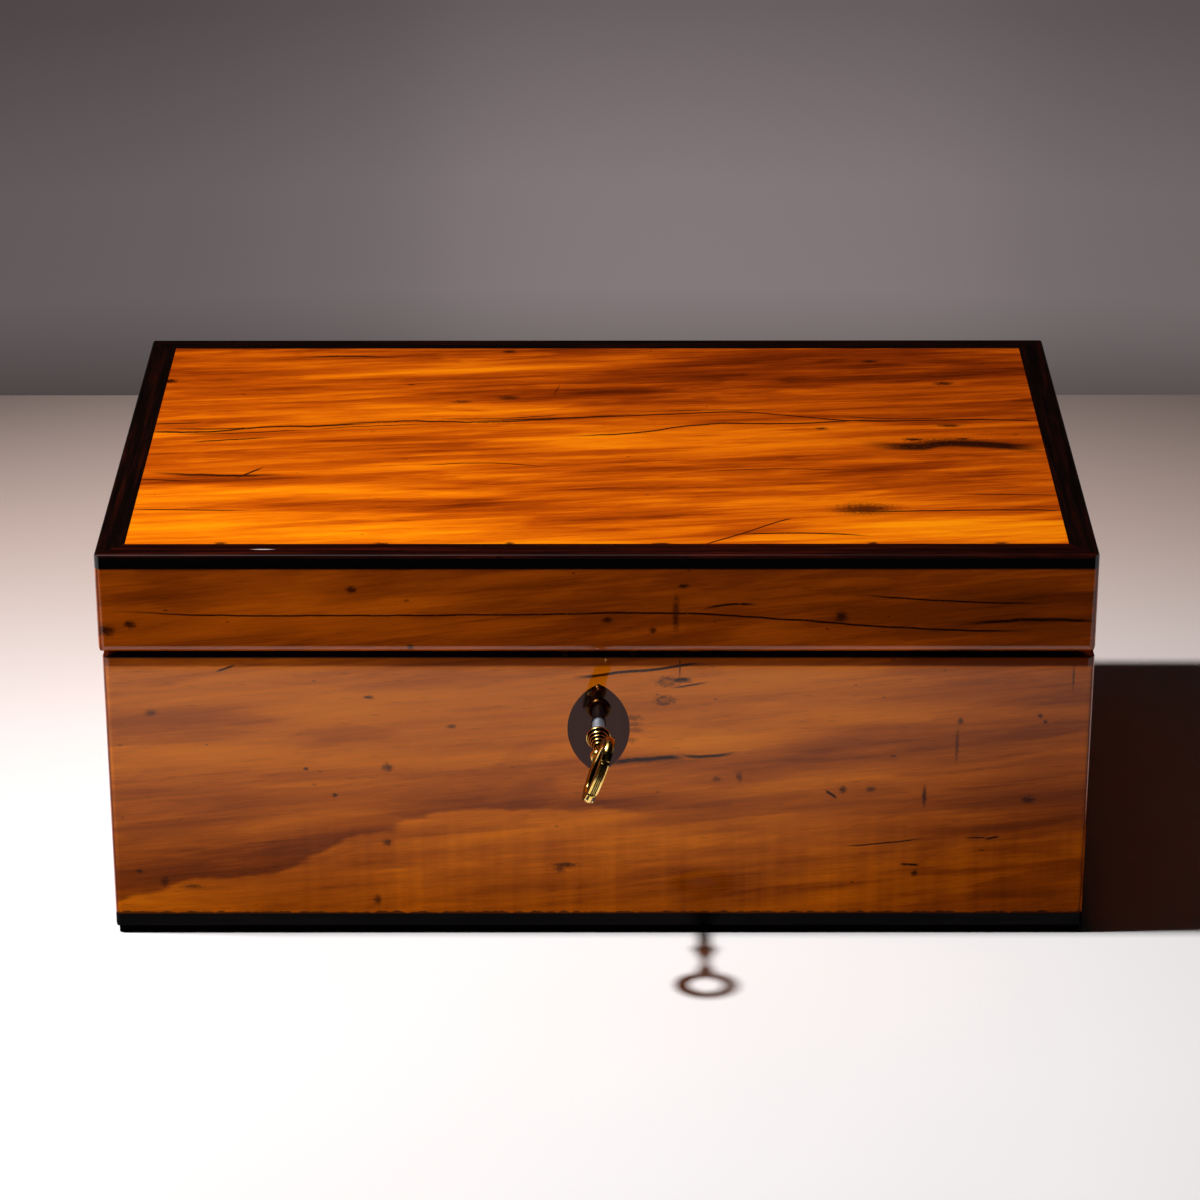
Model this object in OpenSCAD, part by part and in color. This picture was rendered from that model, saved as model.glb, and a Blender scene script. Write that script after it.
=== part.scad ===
// Desk letter box: mitred boards, a lid edged with dark strips, two butt hinges and a keyed box lock.
// Millimetres. The origin is the centre of the underside, +Z is up and the front faces -Y.
// The lid is shut, the bolt is drawn back and the key stands in the lock.

/* [Body] */
// Width of the lid, left to right
box_w = 350; // [300:1:420]
// Depth of body and lid, front to back
box_d = 215; // [180:1:280]
// Height of the body's top edge above the table
body_top = 109.4; // [100:0.1:150]
// Thickness of the body's boards
wall = 10; // [9.6:0.1:13]
// Radius of the upright corners
corner_r = 2.5; // [1:0.1:5]
// Radius of the body's top arris
body_arris = 0.6; // [0.3:0.1:1.2]

/* [Base] */
// Thickness of the foot board under the bands
foot_h = 2.6; // [2:0.1:5]
// How far the foot board stands back from the faces
foot_inset = 1.2; // [0.5:0.1:4]
// Height of the dark base bands and of the floor board
band_h = 5.3; // [4:0.1:9]
// Width of the base bands, face to floor board
band_w = 10; // [8:0.1:16]
// Radius of the bands' lower arris
band_arris = 1; // [0.4:0.1:2]
// Distance of the front and back base screws from the box's ends
base_screw_in = 55; // [40:1:110]
// Length of the base screws
base_screw_l = 18; // [14:1:30]

/* [Lining] */
// Thickness of the lining boards
lining_t = 3; // [2:0.1:5]
// Height of the dust lip above the body's top edge
lip_h = 4; // [2.5:0.1:7]
// Play between the dust lip and the lid's rails
lid_clear = 0.4; // [0.3:0.05:0.8]
// Play between the dust lip and the lid's lining
lid_seat = 0.1; // [0.05:0.05:0.3]

/* [Lid] */
// Height of the lid from its lower edge to its top
lid_h = 37.5; // [30:0.1:60]
// Gap that shows between body and lid
lid_gap = 1.6; // [1:0.1:2.4]
// How much further the lid reaches than the body, at each end
lid_overhang = 0.6; // [0:0.1:1.5]
// How far the worn lid sits to the left of the body
lid_creep = 0.6; // [0:0.1:1]
// Radius of the lid's lower arris at the front and the ends
lid_arris = 2.8; // [1:0.1:4]
// Width of the dark border on the top
border_w = 10; // [8:0.1:14]
// Height of the dark border on the faces
border_h = 5.3; // [4:0.1:8]
// Radius of the border's top arris
border_arris = 1.2; // [0.5:0.1:2.5]
// Thickness of the top panel
panel_t = 9; // [8:0.1:14]
// How far the top panel's tongue runs under the border
panel_tongue = 4; // [2:0.1:6]
// Room round the tongue for the wood to move
panel_room = 0.2; // [0.1:0.05:0.5]

/* [Hinges] */
// Distance of each hinge's middle from its end of the box
hinge_in = 70; // [50:1:100]
// Length of a hinge
hinge_l = 38; // [30:1:60]
// Width of a leaf, from the pin's axis to its edge
leaf_w = 7; // [6.4:0.1:7.4]
// Thickness of a leaf
leaf_t = 1.3; // [1:0.1:1.8]
// Number of knuckles on a hinge
knuckles = 5; // [3:2:7]
// Gap between two knuckles
knuckle_gap = 0.2; // [0.1:0.05:0.4]
// Radius of the hinge pin
hinge_pin_r = 1; // [0.8:0.1:1.2]
// Distance of the pin's axis from the back face
hinge_inset = 2; // [1.6:0.1:2.4]
// Angle at which the bevels on the back edges stop the lid
lid_stop = 95; // [90:1:110]
// Length of the hinge screws
hinge_screw_l = 9; // [7:0.5:14]

/* [Lock] */
// Width of the lock plate
lock_w = 64; // [62:1:90]
// Height of the lock plate
lock_h = 40; // [38:1:50]
// Depth of the lock, front to back
lock_depth = 7.4; // [6.8:0.1:8]
// Width of the lock's cap
case_w = 50; // [50:1:54]
// Thickness of the lock plate
lock_plate_t = 1.2; // [0.8:0.1:1.5]
// Thickness of the lock's top plate
lock_top_t = 1.6; // [1.2:0.1:2]
// Thickness of the cap's face and walls
cap_t = 0.9; // [0.6:0.1:1.2]
// Depth of the key's axis below the body's top edge
key_drop = 25.6; // [25:0.1:28]
// Thickness of the bolt
bolt_t = 2; // [1.6:0.1:2.4]
// Height of the bolt's fingers
finger_h = 2.8; // [2:0.1:3.2]
// Width of the posts that carry the fingers
post_w = 3; // [2:0.1:3.4]
// Height of the bar between the posts
bar_h = 3.2; // [2.4:0.1:4]
// Radius of the stump that guides the bolt
stump_r = 1.6; // [1.2:0.1:1.8]
// Length of the lock screws
lock_screw_l = 7; // [5:0.5:7.5]

/* [Link plate] */
// Distance between the two loops, middle to middle
loop_gap = 24; // [22:0.5:26]
// Thickness of a loop, along the bolt's travel
loop_t = 2.2; // [1.8:0.1:2.6]
// Width of a loop, front to back
loop_w = 4.2; // [4:0.1:4.4]
// Strength of the loop round its eye
loop_web = 1.2; // [0.8:0.1:1.4]
// Length of the link plate
link_l = 60; // [56:1:90]
// Width of the link plate
link_w = 6.6; // [6:0.1:6.8]
// Thickness of the link plate
link_t = 1.6; // [1.2:0.1:2.4]
// Length of the link plate's screws
link_screw_l = 12; // [8:0.5:16]

/* [Keyhole] */
// Width of the dark inlay round the keyhole
escutcheon_w = 22; // [18:0.5:30]
// Height of that inlay
escutcheon_h = 35; // [30:0.5:44]
// Thickness of that inlay
escutcheon_t = 1.2; // [0.8:0.1:1.6]
// Depth of the inlay's middle below the key's axis
escutcheon_low = 2.1; // [0:0.1:4]
// Radius of the keyhole's round
keyhole_r = 2.7; // [2.6:0.1:3]

/* [Key] */
// Radius of the shank
shank_r = 2.2; // [2:0.1:2.4]
// Radius of the drill pin that the pipe runs on
drill_pin_r = 1.2; // [1:0.05:1.4]
// Depth of the pipe
pipe_l = 9; // [8:0.5:14]
// Reach of the bit from the key's axis
bit_r = 7.5; // [7.2:0.1:7.8]
// Thickness of the bit
bit_t = 1.6; // [1.2:0.1:1.8]
// Turn of the key that throws the bolt
key_swing = 40; // [32:1:44]
// Distance of the collar's back from the front face
collar_out = 10; // [8:0.1:16]
// Radius of the collar
collar_r = 4.3; // [3.6:0.1:5.5]
// Number of rings turned on the neck
neck_rings = 4; // [2:1:5]
// Distance of the bow's middle from the front face
bow_out = 37.3; // [36:0.1:44]
// Width of the bow
bow_w = 25.4; // [22:0.1:30]
// Length of the bow, along the shank
bow_l = 18; // [16:0.1:20]
// Width of the bow's rim
bow_rim = 4.2; // [3.4:0.1:4.6]
// Thickness of the bow
bow_t = 3.2; // [2:0.1:3.6]

/* [Hidden] */
$fn = 48;
// How far cutting shapes run past the face that they cut
past = 1;
// Room round a metal piece that is let into wood
let_in = 0.1;
// Room between a riveted pin and its hole
rivet_room = 0.02;
// Radial room between a hinge pin and the upper leaf, and between drill pin and pipe
running = 0.06;
// Room between the sliding bolt and what guides it
slide_room = 0.12;
// Room between a screw and its hole
screw_room = 0.05;
// Play between the two bevels when the lid is open
stop_play = 0.06;

// Levels
floor_top = foot_h + band_h;
lid_low = body_top + lid_gap;
lid_top = lid_low + lid_h;
border_low = lid_top - border_h;
panel_low = lid_top - panel_t;
lip_top = body_top + lip_h;

// Faces and rings of boards
front_y = -box_d / 2;
body_w = box_w - 2 * lid_overhang;
room_w = body_w - 2 * wall;
room_d = box_d - 2 * wall;
rail_t = wall - lid_clear;
end_rail_t = wall + lid_overhang - lid_creep - lid_clear;
lid_room_w = box_w - 2 * end_rail_t;
lid_room_d = box_d - 2 * rail_t;

// Hinges
hinge_x = box_w / 2 - hinge_in;
axis_y = box_d / 2 - hinge_inset;
axis_z = body_top + lid_gap / 2;
// How far the barrel stands out past a leaf's flat side
barrel_swell = 0.1;
barrel_r = lid_gap / 2 + leaf_t + barrel_swell;
knuckle_pitch = hinge_l / knuckles;
barrel_room = 0.3;
hinge_head_r = 1.6;
hinge_shank_r = 0.8;
hinge_screw_y = -(barrel_r + barrel_room + leaf_w) / 2;
hinge_screw_pitch = hinge_l / 3;

// Screws of base, lock and link plate
base_screw_x = box_w / 2 - base_screw_in;
base_head_r = 3;
base_shank_r = 1.6;
base_screw_sink = 0.4;
lock_head_r = 1.7;
lock_shank_r = 0.9;
lock_screw_x = (lock_w + case_w) / 4;
lock_screw_top = 7;
lock_screw_low = 9;
link_screw_shift = 3.5;
link_screw_x = (link_l + loop_gap + loop_t) / 4 + link_screw_shift;

// Lock, with the key's axis at height key_z
key_z = body_top - key_drop;
inner_y = front_y + wall;
plate_y = inner_y - lock_plate_t;
cap_y = inner_y - lock_depth;
cap_inner_y = cap_y + cap_t;
lock_y = (cap_inner_y + plate_y) / 2;
lock_low = body_top - lock_h;
case_margin = 1;
case_low = lock_low + case_margin;
case_top = body_top - lock_top_t;
plate_corner_r = 6;
lining_slot_play = 1;

// The bit stands half a swing past upright at rest, and half a swing short of it when the bolt is thrown
half_swing = key_swing / 2;
throw = 2 * bit_r * sin(half_swing);
bit_bite = 0.85;
bolt_low = bit_r * cos(half_swing) - bit_bite;
talon_play = 0.12;
talon_half = bit_r * sin(half_swing) - bolt_low * tan(half_swing) + bit_t / 2 / cos(half_swing) + talon_play;
bit_room = 0.3;
talon_top = bit_r + bit_room;
talon_web = 1.85;
stump_up = talon_top + talon_web + stump_r + slide_room;
stump_shoulder = 1.4;
stump_shoulder_r = stump_r + stump_shoulder;

// Fingers, posts and loops
finger_drop = 2.4;
finger_top = case_top - finger_drop;
finger_low = finger_top - finger_h;
eye_play = 0.4;
loop_low = finger_low - eye_play - loop_web;
loop_room = 0.6;
eye_w = bolt_t + 2 * bit_room;
finger_play = 0.8;
finger_bite = 0.6;
finger_l = throw - finger_play + finger_bite;
post_x = loop_t / 2 + finger_play + finger_l;
bar_top = loop_low - loop_room;
bar_low = bar_top - bar_h;
slot_end = throw + stump_r + slide_room;
bolt_web = 3;

// Key
keyhole_play = 0.4;
pipe_r = drill_pin_r + running;
tip_room = 0.2;
tip_in = wall - lock_plate_t - tip_room;
bit_in = wall - lock_plate_t - bit_room;
bit_out = wall - lock_depth + cap_t + bit_room;
tang_r = 1.4;
tang_l = 7;
ring_pitch = 1.7;
neck_r = 2.2;
bead_r = 2.9;
bead_half = 1.4;
bead_gap = 0.2;
bow_end_share = 0.78;
bow_chamfer = 0.5;

satinwood = "#a85a1c";
ebony = "#17100e";
rosewood = "#3a120a";
cedar = "#7a4526";
brass = "#c9a145";
steel = "#8d8f94";

// Sides of a ring of boards, as quarter turns from the front
FRONT = 0;
RIGHT = 1;
BACK = 2;
LEFT = 3;

// Joinery

// What an arris of radius r loses, for an edge along X with the wood in +Y and +Z
module arris_cut(length, r) {
    rotate([90, 0, 90]) linear_extrude(length, center = true) difference() {
        translate([-past, -past]) square(r + past);
        translate([r, r]) circle(r);
    }
}

// What an upright corner of radius r loses, with the wood in +X and +Y
module corner_cut(height, r) {
    translate([0, 0, -past]) linear_extrude(height + 2 * past) difference() {
        translate([-past, -past]) square(r + past);
        translate([r, r]) circle(r);
    }
}

// One mitred side of a ring w by d, end_t thick at the ends and face_t at front and back, standing on z = 0
module ring_side(side, w, d, end_t, face_t, h, corner = 0, low = 0, top = 0) {
    ends = side % 2 == 1;
    l = ends ? d : w;
    out = (ends ? w : d) / 2;
    t = ends ? end_t : face_t;
    cut = ends ? face_t : end_t;
    rotate(90 * side) difference() {
        linear_extrude(h) polygon([
            [-l / 2, -out],
            [l / 2, -out],
            [l / 2 - cut, t - out],
            [cut - l / 2, t - out]
        ]);
        if (corner > 0) {
            translate([-l / 2, -out]) corner_cut(h, corner);
            mirror([1, 0, 0]) translate([-l / 2, -out]) corner_cut(h, corner);
        }
        if (low > 0) {
            translate([0, -out, 0]) arris_cut(l + past, low);
        }
        if (top > 0) {
            translate([0, -out, h]) mirror([0, 0, 1]) arris_cut(l + past, top);
        }
    }
}

// A countersunk screw with its head's face at z = 0 and its point down
module screw(head_r, shank_r, length) {
    slot_w = head_r * 0.3;
    slot_h = (head_r - shank_r) * 0.5;
    difference() {
        rotate_extrude() polygon([
            [0, 0],
            [head_r, 0],
            [shank_r, shank_r - head_r],
            [shank_r, 2 * shank_r - length],
            [0, -length]
        ]);
        translate([-head_r - past, -slot_w / 2, -slot_h]) cube([2 * (head_r + past), slot_w, slot_h + past]);
    }
}

// The hole that such a screw needs
module screw_hole(head_r, shank_r, length) {
    rotate_extrude() polygon([
        [0, past],
        [head_r + screw_room, past],
        [head_r + screw_room, 0],
        [shank_r + screw_room, shank_r - head_r],
        [shank_r + screw_room, -length - screw_room],
        [0, -length - screw_room]
    ]);
}

// Body

module at_base_screws() {
    for (x = [-base_screw_x, base_screw_x], y = [-1, 1]) {
        translate([x, y * (box_d - wall) / 2, base_screw_sink]) rotate([180, 0, 0]) children();
    }
    for (x = [-1, 1]) {
        translate([x * (body_w - wall) / 2, 0, base_screw_sink]) rotate([180, 0, 0]) children();
    }
}

module base_screw_holes() {
    at_base_screws() screw_hole(base_head_r, base_shank_r, base_screw_l);
}

module foot_board() {
    color(ebony) difference() {
        translate([foot_inset - body_w / 2, foot_inset + front_y, 0])
            cube([body_w - 2 * foot_inset, box_d - 2 * foot_inset, foot_h]);
        base_screw_holes();
    }
}

module band(side) {
    color(ebony) difference() {
        translate([0, 0, foot_h])
            ring_side(side, body_w, box_d, band_w, band_w, band_h, corner_r, band_arris);
        base_screw_holes();
    }
}

module floor_board() {
    color(cedar) translate([band_w - body_w / 2, band_w + front_y, foot_h])
        cube([body_w - 2 * band_w, box_d - 2 * band_w, band_h]);
}

module board(side) {
    color(satinwood) difference() {
        translate([0, 0, floor_top])
            ring_side(side, body_w, box_d, wall, wall, body_top - floor_top, corner_r, 0, body_arris);
        base_screw_holes();
        children();
    }
}

module front_board() {
    board(FRONT) {
        lock_mortise();
        escutcheon_shape(let_in);
        keyhole(wall);
        lock_screw_holes();
    }
}

module back_board() {
    board(BACK) {
        bevel_cut();
        for (side = [-1, 1]) {
            at_hinge(side) leaf_mortise();
        }
        hinge_screw_holes();
    }
}

module end_board(side) {
    board(side) {
        bevel_cut();
    }
}

module lining(side) {
    color(cedar) difference() {
        translate([0, 0, floor_top])
            ring_side(side, room_w, room_d, lining_t, lining_t, lip_top - floor_top);
        children();
    }
}

module lining_front() {
    slot_w = lock_w + 2 * lining_slot_play;
    slot_low = lock_low - lining_slot_play;
    lining(FRONT) {
        translate([-slot_w / 2, inner_y - past, slot_low])
            cube([slot_w, lining_t + 2 * past, lip_top - slot_low + past]);
    }
}

module base_screws() {
    color(steel) at_base_screws() screw(base_head_r, base_shank_r, base_screw_l);
}

// Keyhole and inlay, drawn on the front face and cut inwards

module from_front(depth) {
    translate([0, front_y + depth, key_z]) rotate([90, 0, 0]) linear_extrude(depth + past) children();
}

module keyhole(depth) {
    slot_w = bit_t + 2 * keyhole_play;
    slot_l = bit_r + keyhole_play;
    from_front(depth) {
        circle(keyhole_r);
        translate([-slot_w / 2, -slot_l]) square([slot_w, slot_l]);
    }
}

module escutcheon_shape(room) {
    arc_r = (pow(escutcheon_h, 2) + pow(escutcheon_w, 2)) / (4 * escutcheon_w);
    arc_x = arc_r - escutcheon_w / 2;
    extra = room > 0 ? past : 0;
    translate([0, front_y + escutcheon_t, key_z - escutcheon_low])
        rotate([90, 0, 0]) linear_extrude(escutcheon_t + extra) intersection() {
            translate([-arc_x, 0]) circle(arc_r + room / 2);
            translate([arc_x, 0]) circle(arc_r + room / 2);
        }
}

module escutcheon() {
    color(ebony) difference() {
        escutcheon_shape(0);
        keyhole(escutcheon_t + past);
    }
}

// Lock

// The lock plate's outline, standing at the board's inner face and depth deep towards the front
module plate_slab(depth, room) {
    w = lock_w + 2 * room;
    low = lock_low - room;
    translate([0, inner_y, 0]) rotate([90, 0, 0]) linear_extrude(depth) difference() {
        translate([-w / 2, low]) square([w, body_top - low]);
        translate([-w / 2, low]) plate_corner();
        translate([w / 2, low]) mirror([1, 0]) plate_corner();
    }
}

module plate_corner() {
    difference() {
        translate([-past, -past]) square(plate_corner_r + past);
        translate([plate_corner_r, plate_corner_r]) circle(plate_corner_r);
    }
}

module at_lock_screws() {
    for (x = [-lock_screw_x, lock_screw_x], z = [lock_low + lock_screw_low, body_top - lock_screw_top]) {
        translate([x, inner_y, z]) rotate([-90, 0, 0]) children();
    }
}

module lock_screw_holes() {
    at_lock_screws() screw_hole(lock_head_r, lock_shank_r, lock_screw_l);
}

module lock_mortise() {
    case_room_w = case_w + 2 * let_in;
    top_w = lock_w + 2 * let_in;
    translate([0, past, 0]) plate_slab(lock_plate_t + past, let_in);
    translate([-case_room_w / 2, cap_y, case_low - let_in])
        cube([case_room_w, lock_depth + past, body_top - case_low + let_in + past]);
    translate([-top_w / 2, cap_y, case_top]) cube([top_w, lock_depth + past, lock_top_t + past]);
}

// A round hole through the lock plate, on the key's side of it
module plate_hole(x, up, r) {
    translate([x, inner_y + past, key_z + up]) rotate([90, 0, 0])
        cylinder(r = r, h = lock_plate_t + 2 * past);
}

module at_loops() {
    for (x = [-loop_gap / 2, loop_gap / 2]) {
        translate([x, lock_y, 0]) children();
    }
}

module lock_plate() {
    slot_w = loop_t + 2 * loop_room;
    color(brass) difference() {
        union() {
            plate_slab(lock_plate_t, 0);
            translate([-lock_w / 2, cap_y, case_top]) cube([lock_w, lock_depth, lock_top_t]);
        }
        at_loops() translate([-slot_w / 2, cap_inner_y - lock_y, case_top - past])
            cube([slot_w, plate_y - cap_inner_y, lock_top_t + 2 * past]);
        lock_screw_holes();
        plate_hole(0, 0, drill_pin_r + rivet_room);
        plate_hole(0, stump_up, stump_r + rivet_room);
    }
}

module lock_cap() {
    depth = plate_y - cap_y;
    boss_h = lock_y - bolt_t / 2 - slide_room - cap_inner_y;
    color(brass) difference() {
        union() {
            difference() {
                translate([-case_w / 2, cap_y, case_low]) cube([case_w, depth, case_top - case_low]);
                translate([cap_t - case_w / 2, cap_inner_y, case_low + cap_t])
                    cube([case_w - 2 * cap_t, depth, case_top - case_low]);
            }
            translate([0, cap_inner_y + boss_h, key_z + stump_up]) rotate([90, 0, 0])
                cylinder(r = stump_shoulder_r, h = boss_h + cap_t / 2);
        }
        keyhole(wall);
        translate([0, lock_y, key_z + stump_up]) rotate([90, 0, 0])
            cylinder(r = stump_r + rivet_room, h = lock_y - cap_y + past);
    }
}

module drill_pin() {
    straight = lock_depth - drill_pin_r;
    color(steel) translate([0, inner_y, key_z]) rotate([90, 0, 0]) {
        cylinder(r = drill_pin_r, h = straight);
        translate([0, 0, straight]) sphere(drill_pin_r);
    }
}

module bolt_stump() {
    shoulder = plate_y - lock_y - bolt_t / 2 - slide_room;
    color(steel) translate([0, inner_y, key_z + stump_up]) rotate([90, 0, 0]) {
        cylinder(r = stump_r, h = inner_y - cap_y);
        translate([0, 0, lock_plate_t]) cylinder(r = stump_shoulder_r, h = shoulder);
    }
}

module lock_screws() {
    color(brass) at_lock_screws() screw(lock_head_r, lock_shank_r, lock_screw_l);
}

// A plate as thick as the bolt, between two heights
module bolt_slab(x0, x1, z0, z1) {
    translate([x0, lock_y - bolt_t / 2, z0]) cube([x1 - x0, bolt_t, z1 - z0]);
}

module lock_bolt() {
    bar_x0 = post_x - loop_gap / 2;
    bar_x1 = post_x + loop_gap / 2 + post_w;
    talon_x = bit_r * sin(half_swing);
    stump_room = stump_r + slide_room;
    color(brass) difference() {
        union() {
            bolt_slab(bar_x0, slot_end + bolt_web, key_z + bolt_low, bar_top);
            bolt_slab(bar_x0, bar_x1, bar_low, bar_top);
            for (x = [-loop_gap / 2, loop_gap / 2]) {
                bolt_slab(x + post_x, x + post_x + post_w, bar_low, finger_top);
                bolt_slab(x + post_x - finger_l, x + post_x + post_w, finger_low, finger_top);
            }
        }
        bolt_cut() {
            translate([talon_x - talon_half, 0]) square([2 * talon_half, talon_top]);
            translate([0, stump_up]) circle(stump_room);
            translate([throw, stump_up]) circle(stump_room);
            translate([0, stump_up - stump_room]) square([throw, 2 * stump_room]);
        }
    }
}

// Cuts through the bolt, drawn on the key's axis
module bolt_cut() {
    translate([0, lock_y + bolt_t, key_z]) rotate([90, 0, 0]) linear_extrude(2 * bolt_t) children();
}

// Key: drawn along +Z out of the front face with its bow and bit upright in +Y, then leaned to its rest

module key_place() {
    translate([0, front_y, key_z]) rotate([90, 0, 0]) rotate([0, 0, -half_swing]) children();
}

module key_shank() {
    bit_l = bit_in - bit_out;
    color(steel) key_place() difference() {
        union() {
            translate([0, 0, -tip_in]) cylinder(r = shank_r, h = tip_in + collar_out);
            translate([0, 0, collar_out - past]) cylinder(r = tang_r, h = tang_l + past);
            translate([0, 0, -bit_in]) intersection() {
                translate([-bit_t / 2, 0, 0]) cube([bit_t, bit_r, bit_l]);
                cylinder(r = bit_r, h = bit_l);
            }
        }
        translate([0, 0, -tip_in - past]) cylinder(r = pipe_r, h = pipe_l + past);
    }
}

// Half outline of the neck: a flared back, the collar, rings that step down, a waist and a bead
function neck_outline() = concat(
    [[0, 0], [neck_r + 0.5, 0], [collar_r, 1.5], [collar_r, 2.4], [collar_r - 1, 2.9]],
    [
        for (i = [0 : neck_rings - 1], p = ring_points(i)) p
    ],
    [
        [neck_r - 0.3, 3.2 + neck_rings * ring_pitch],
        [neck_r - 0.3, bead_at() - bead_half],
        [bead_r - 0.4, bead_at() - 0.8 * bead_half],
        [bead_r, bead_at()],
        [bead_r - 0.4, bead_at() + 0.8 * bead_half],
        [neck_r, bead_at() + bead_half],
        [neck_r, neck_end()],
        [0, neck_end()]
    ]
);
function ring_size(i) = collar_r - 0.7 - 0.35 * i;
function ring_points(i) = [
    [ring_size(i) - 0.6, 3.1 + i * ring_pitch],
    [ring_size(i), 3.5 + i * ring_pitch],
    [ring_size(i), 4.2 + i * ring_pitch],
    [ring_size(i) - 0.6, 4.6 + i * ring_pitch]
];
function neck_end() = bow_out - collar_out - bow_l / 2 + bow_rim / 2;
function bead_at() = neck_end() - bow_rim / 2 - bead_gap - bead_half;

// An oval ring of four arcs in the XY plane, a along X and b along Y to the middle of its rim
module oval_ring(a, b, end_r) {
    side_r = (a * a + b * b - 2 * a * end_r) / (2 * (b - end_r));
    end_x = a - end_r;
    side_y = side_r - b;
    side_turn = atan2(end_x, side_y);
    for (flip = [0, 1]) {
        mirror([0, flip, 0]) translate([0, -side_y]) rotate(90 - side_turn)
            rotate_extrude(angle = 2 * side_turn) translate([side_r, 0]) rim_section();
        mirror([flip, 0, 0]) translate([end_x, 0]) rotate(side_turn - 90)
            rotate_extrude(angle = 180 - 2 * side_turn) translate([end_r, 0]) rim_section();
    }
}

module rim_section() {
    x = bow_rim / 2;
    y = bow_t / 2;
    c = bow_chamfer;
    polygon([
        [-x, c - y], [c - x, -y], [x - c, -y], [x, c - y],
        [x, y - c], [x - c, y], [c - x, y], [-x, y - c]
    ]);
}

module key_handle() {
    mid_a = (bow_w - bow_rim) / 2;
    mid_b = (bow_l - bow_rim) / 2;
    color(brass) key_place() {
        translate([0, 0, collar_out]) difference() {
            rotate_extrude() polygon(neck_outline());
            translate([0, 0, -past]) cylinder(r = tang_r + rivet_room, h = tang_l + past + tip_room);
        }
        translate([0, 0, bow_out]) rotate([90, 0, 90]) oval_ring(mid_a, mid_b, bow_end_share * mid_b);
    }
}

// Hinges, drawn about the pin's axis with the back of the box in +Y

module at_hinge(side) {
    translate([side * hinge_x, axis_y, axis_z]) children();
}

module barrel(x0, x1, r) {
    translate([x0, 0, 0]) rotate([0, 90, 0]) cylinder(r = r, h = x1 - x0);
}

function knuckle_start(k) = k * knuckle_pitch - hinge_l / 2;

// A lower leaf carries the even knuckles, and an upper leaf is the same turned over with the odd ones
module leaf(first, bore_room) {
    difference() {
        union() {
            translate([-hinge_l / 2, -leaf_w, -lid_gap / 2 - leaf_t]) cube([hinge_l, leaf_w, leaf_t]);
            for (k = [first : 2 : knuckles - 1]) {
                barrel(knuckle_start(k) + knuckle_gap / 2, knuckle_start(k + 1) - knuckle_gap / 2, barrel_r);
            }
        }
        for (k = [1 - first : 2 : knuckles - 1]) {
            low_end = k == 0 ? past : 0;
            high_end = k == knuckles - 1 ? past : 0;
            barrel(knuckle_start(k) - low_end, knuckle_start(k + 1) + high_end, barrel_r + knuckle_gap);
        }
        barrel(-hinge_l / 2 - past, hinge_l / 2 + past, hinge_pin_r + bore_room);
        leaf_screws() screw_hole(hinge_head_r, hinge_shank_r, hinge_screw_l);
    }
}

module leaf_screws() {
    for (i = [-1, 0, 1]) {
        translate([i * hinge_screw_pitch, hinge_screw_y, -lid_gap / 2]) children();
    }
}

module lower_leaf(side) {
    color(brass) at_hinge(side) leaf(0, rivet_room);
}

module upper_leaf(side) {
    color(brass) at_hinge(side) mirror([0, 0, 1]) leaf(1, running);
}

module hinge_pin(side) {
    color(steel) at_hinge(side) barrel(-hinge_l / 2, hinge_l / 2, hinge_pin_r);
}

module hinge_lower_screws() {
    color(brass) for (side = [-1, 1]) {
        at_hinge(side) leaf_screws() screw(hinge_head_r, hinge_shank_r, hinge_screw_l);
    }
}

module hinge_upper_screws() {
    color(brass) for (side = [-1, 1]) {
        at_hinge(side) mirror([0, 0, 1]) leaf_screws() screw(hinge_head_r, hinge_shank_r, hinge_screw_l);
    }
}

module hinge_screw_holes() {
    for (side = [-1, 1]) {
        at_hinge(side) leaf_screws() screw_hole(hinge_head_r, hinge_shank_r, hinge_screw_l);
    }
}

// What a board loses to a lower leaf and to the barrel
module leaf_mortise() {
    w = hinge_l + 2 * let_in;
    translate([-w / 2, -leaf_w - let_in, -lid_gap / 2 - leaf_t])
        cube([w, leaf_w + let_in + hinge_inset + past, leaf_t + past]);
    barrel(-w / 2, w / 2, barrel_r + barrel_room);
}

// The bevel behind the axis: the lid's one meets the body's when it is open
module bevel_cut() {
    reach = hinge_inset + past;
    length = box_w + 2 * past;
    translate([0, axis_y, axis_z]) rotate([90, 0, 90]) linear_extrude(length, center = true) polygon([
        [0, past],
        [0, -stop_play],
        [reach, -stop_play - reach * tan(lid_stop / 2)],
        [reach, past]
    ]);
}

// Lid

module in_lid() {
    translate([-lid_creep, 0, 0]) children();
}

module turn_over_axis() {
    translate([0, 0, axis_z]) mirror([0, 0, 1]) translate([0, 0, -axis_z]) children();
}

// The space that the panel's tongue takes under the border
module tongue(room) {
    edge = border_w - panel_tongue - room;
    translate([edge - box_w / 2, edge + front_y, panel_low])
        cube([box_w - 2 * edge, box_d - 2 * edge, panel_t - border_h]);
}

module rail(side) {
    low = side == BACK ? body_arris : lid_arris;
    color(satinwood) difference() {
        in_lid() difference() {
            translate([0, 0, lid_low])
                ring_side(side, box_w, box_d, end_rail_t, rail_t, border_low - lid_low, corner_r, low);
            tongue(panel_room);
        }
        children();
    }
}

module lid_front_rail() {
    rail(FRONT) {
        translate([-link_l / 2 - let_in, lock_y - link_w / 2 - let_in, lid_low - past])
            cube([link_l + 2 * let_in, link_w + 2 * let_in, link_t + past]);
        link_screw_holes();
    }
}

module lid_back_rail() {
    rail(BACK) turn_over_axis() {
        bevel_cut();
        for (side = [-1, 1]) {
            at_hinge(side) leaf_mortise();
        }
        hinge_screw_holes();
    }
}

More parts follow.
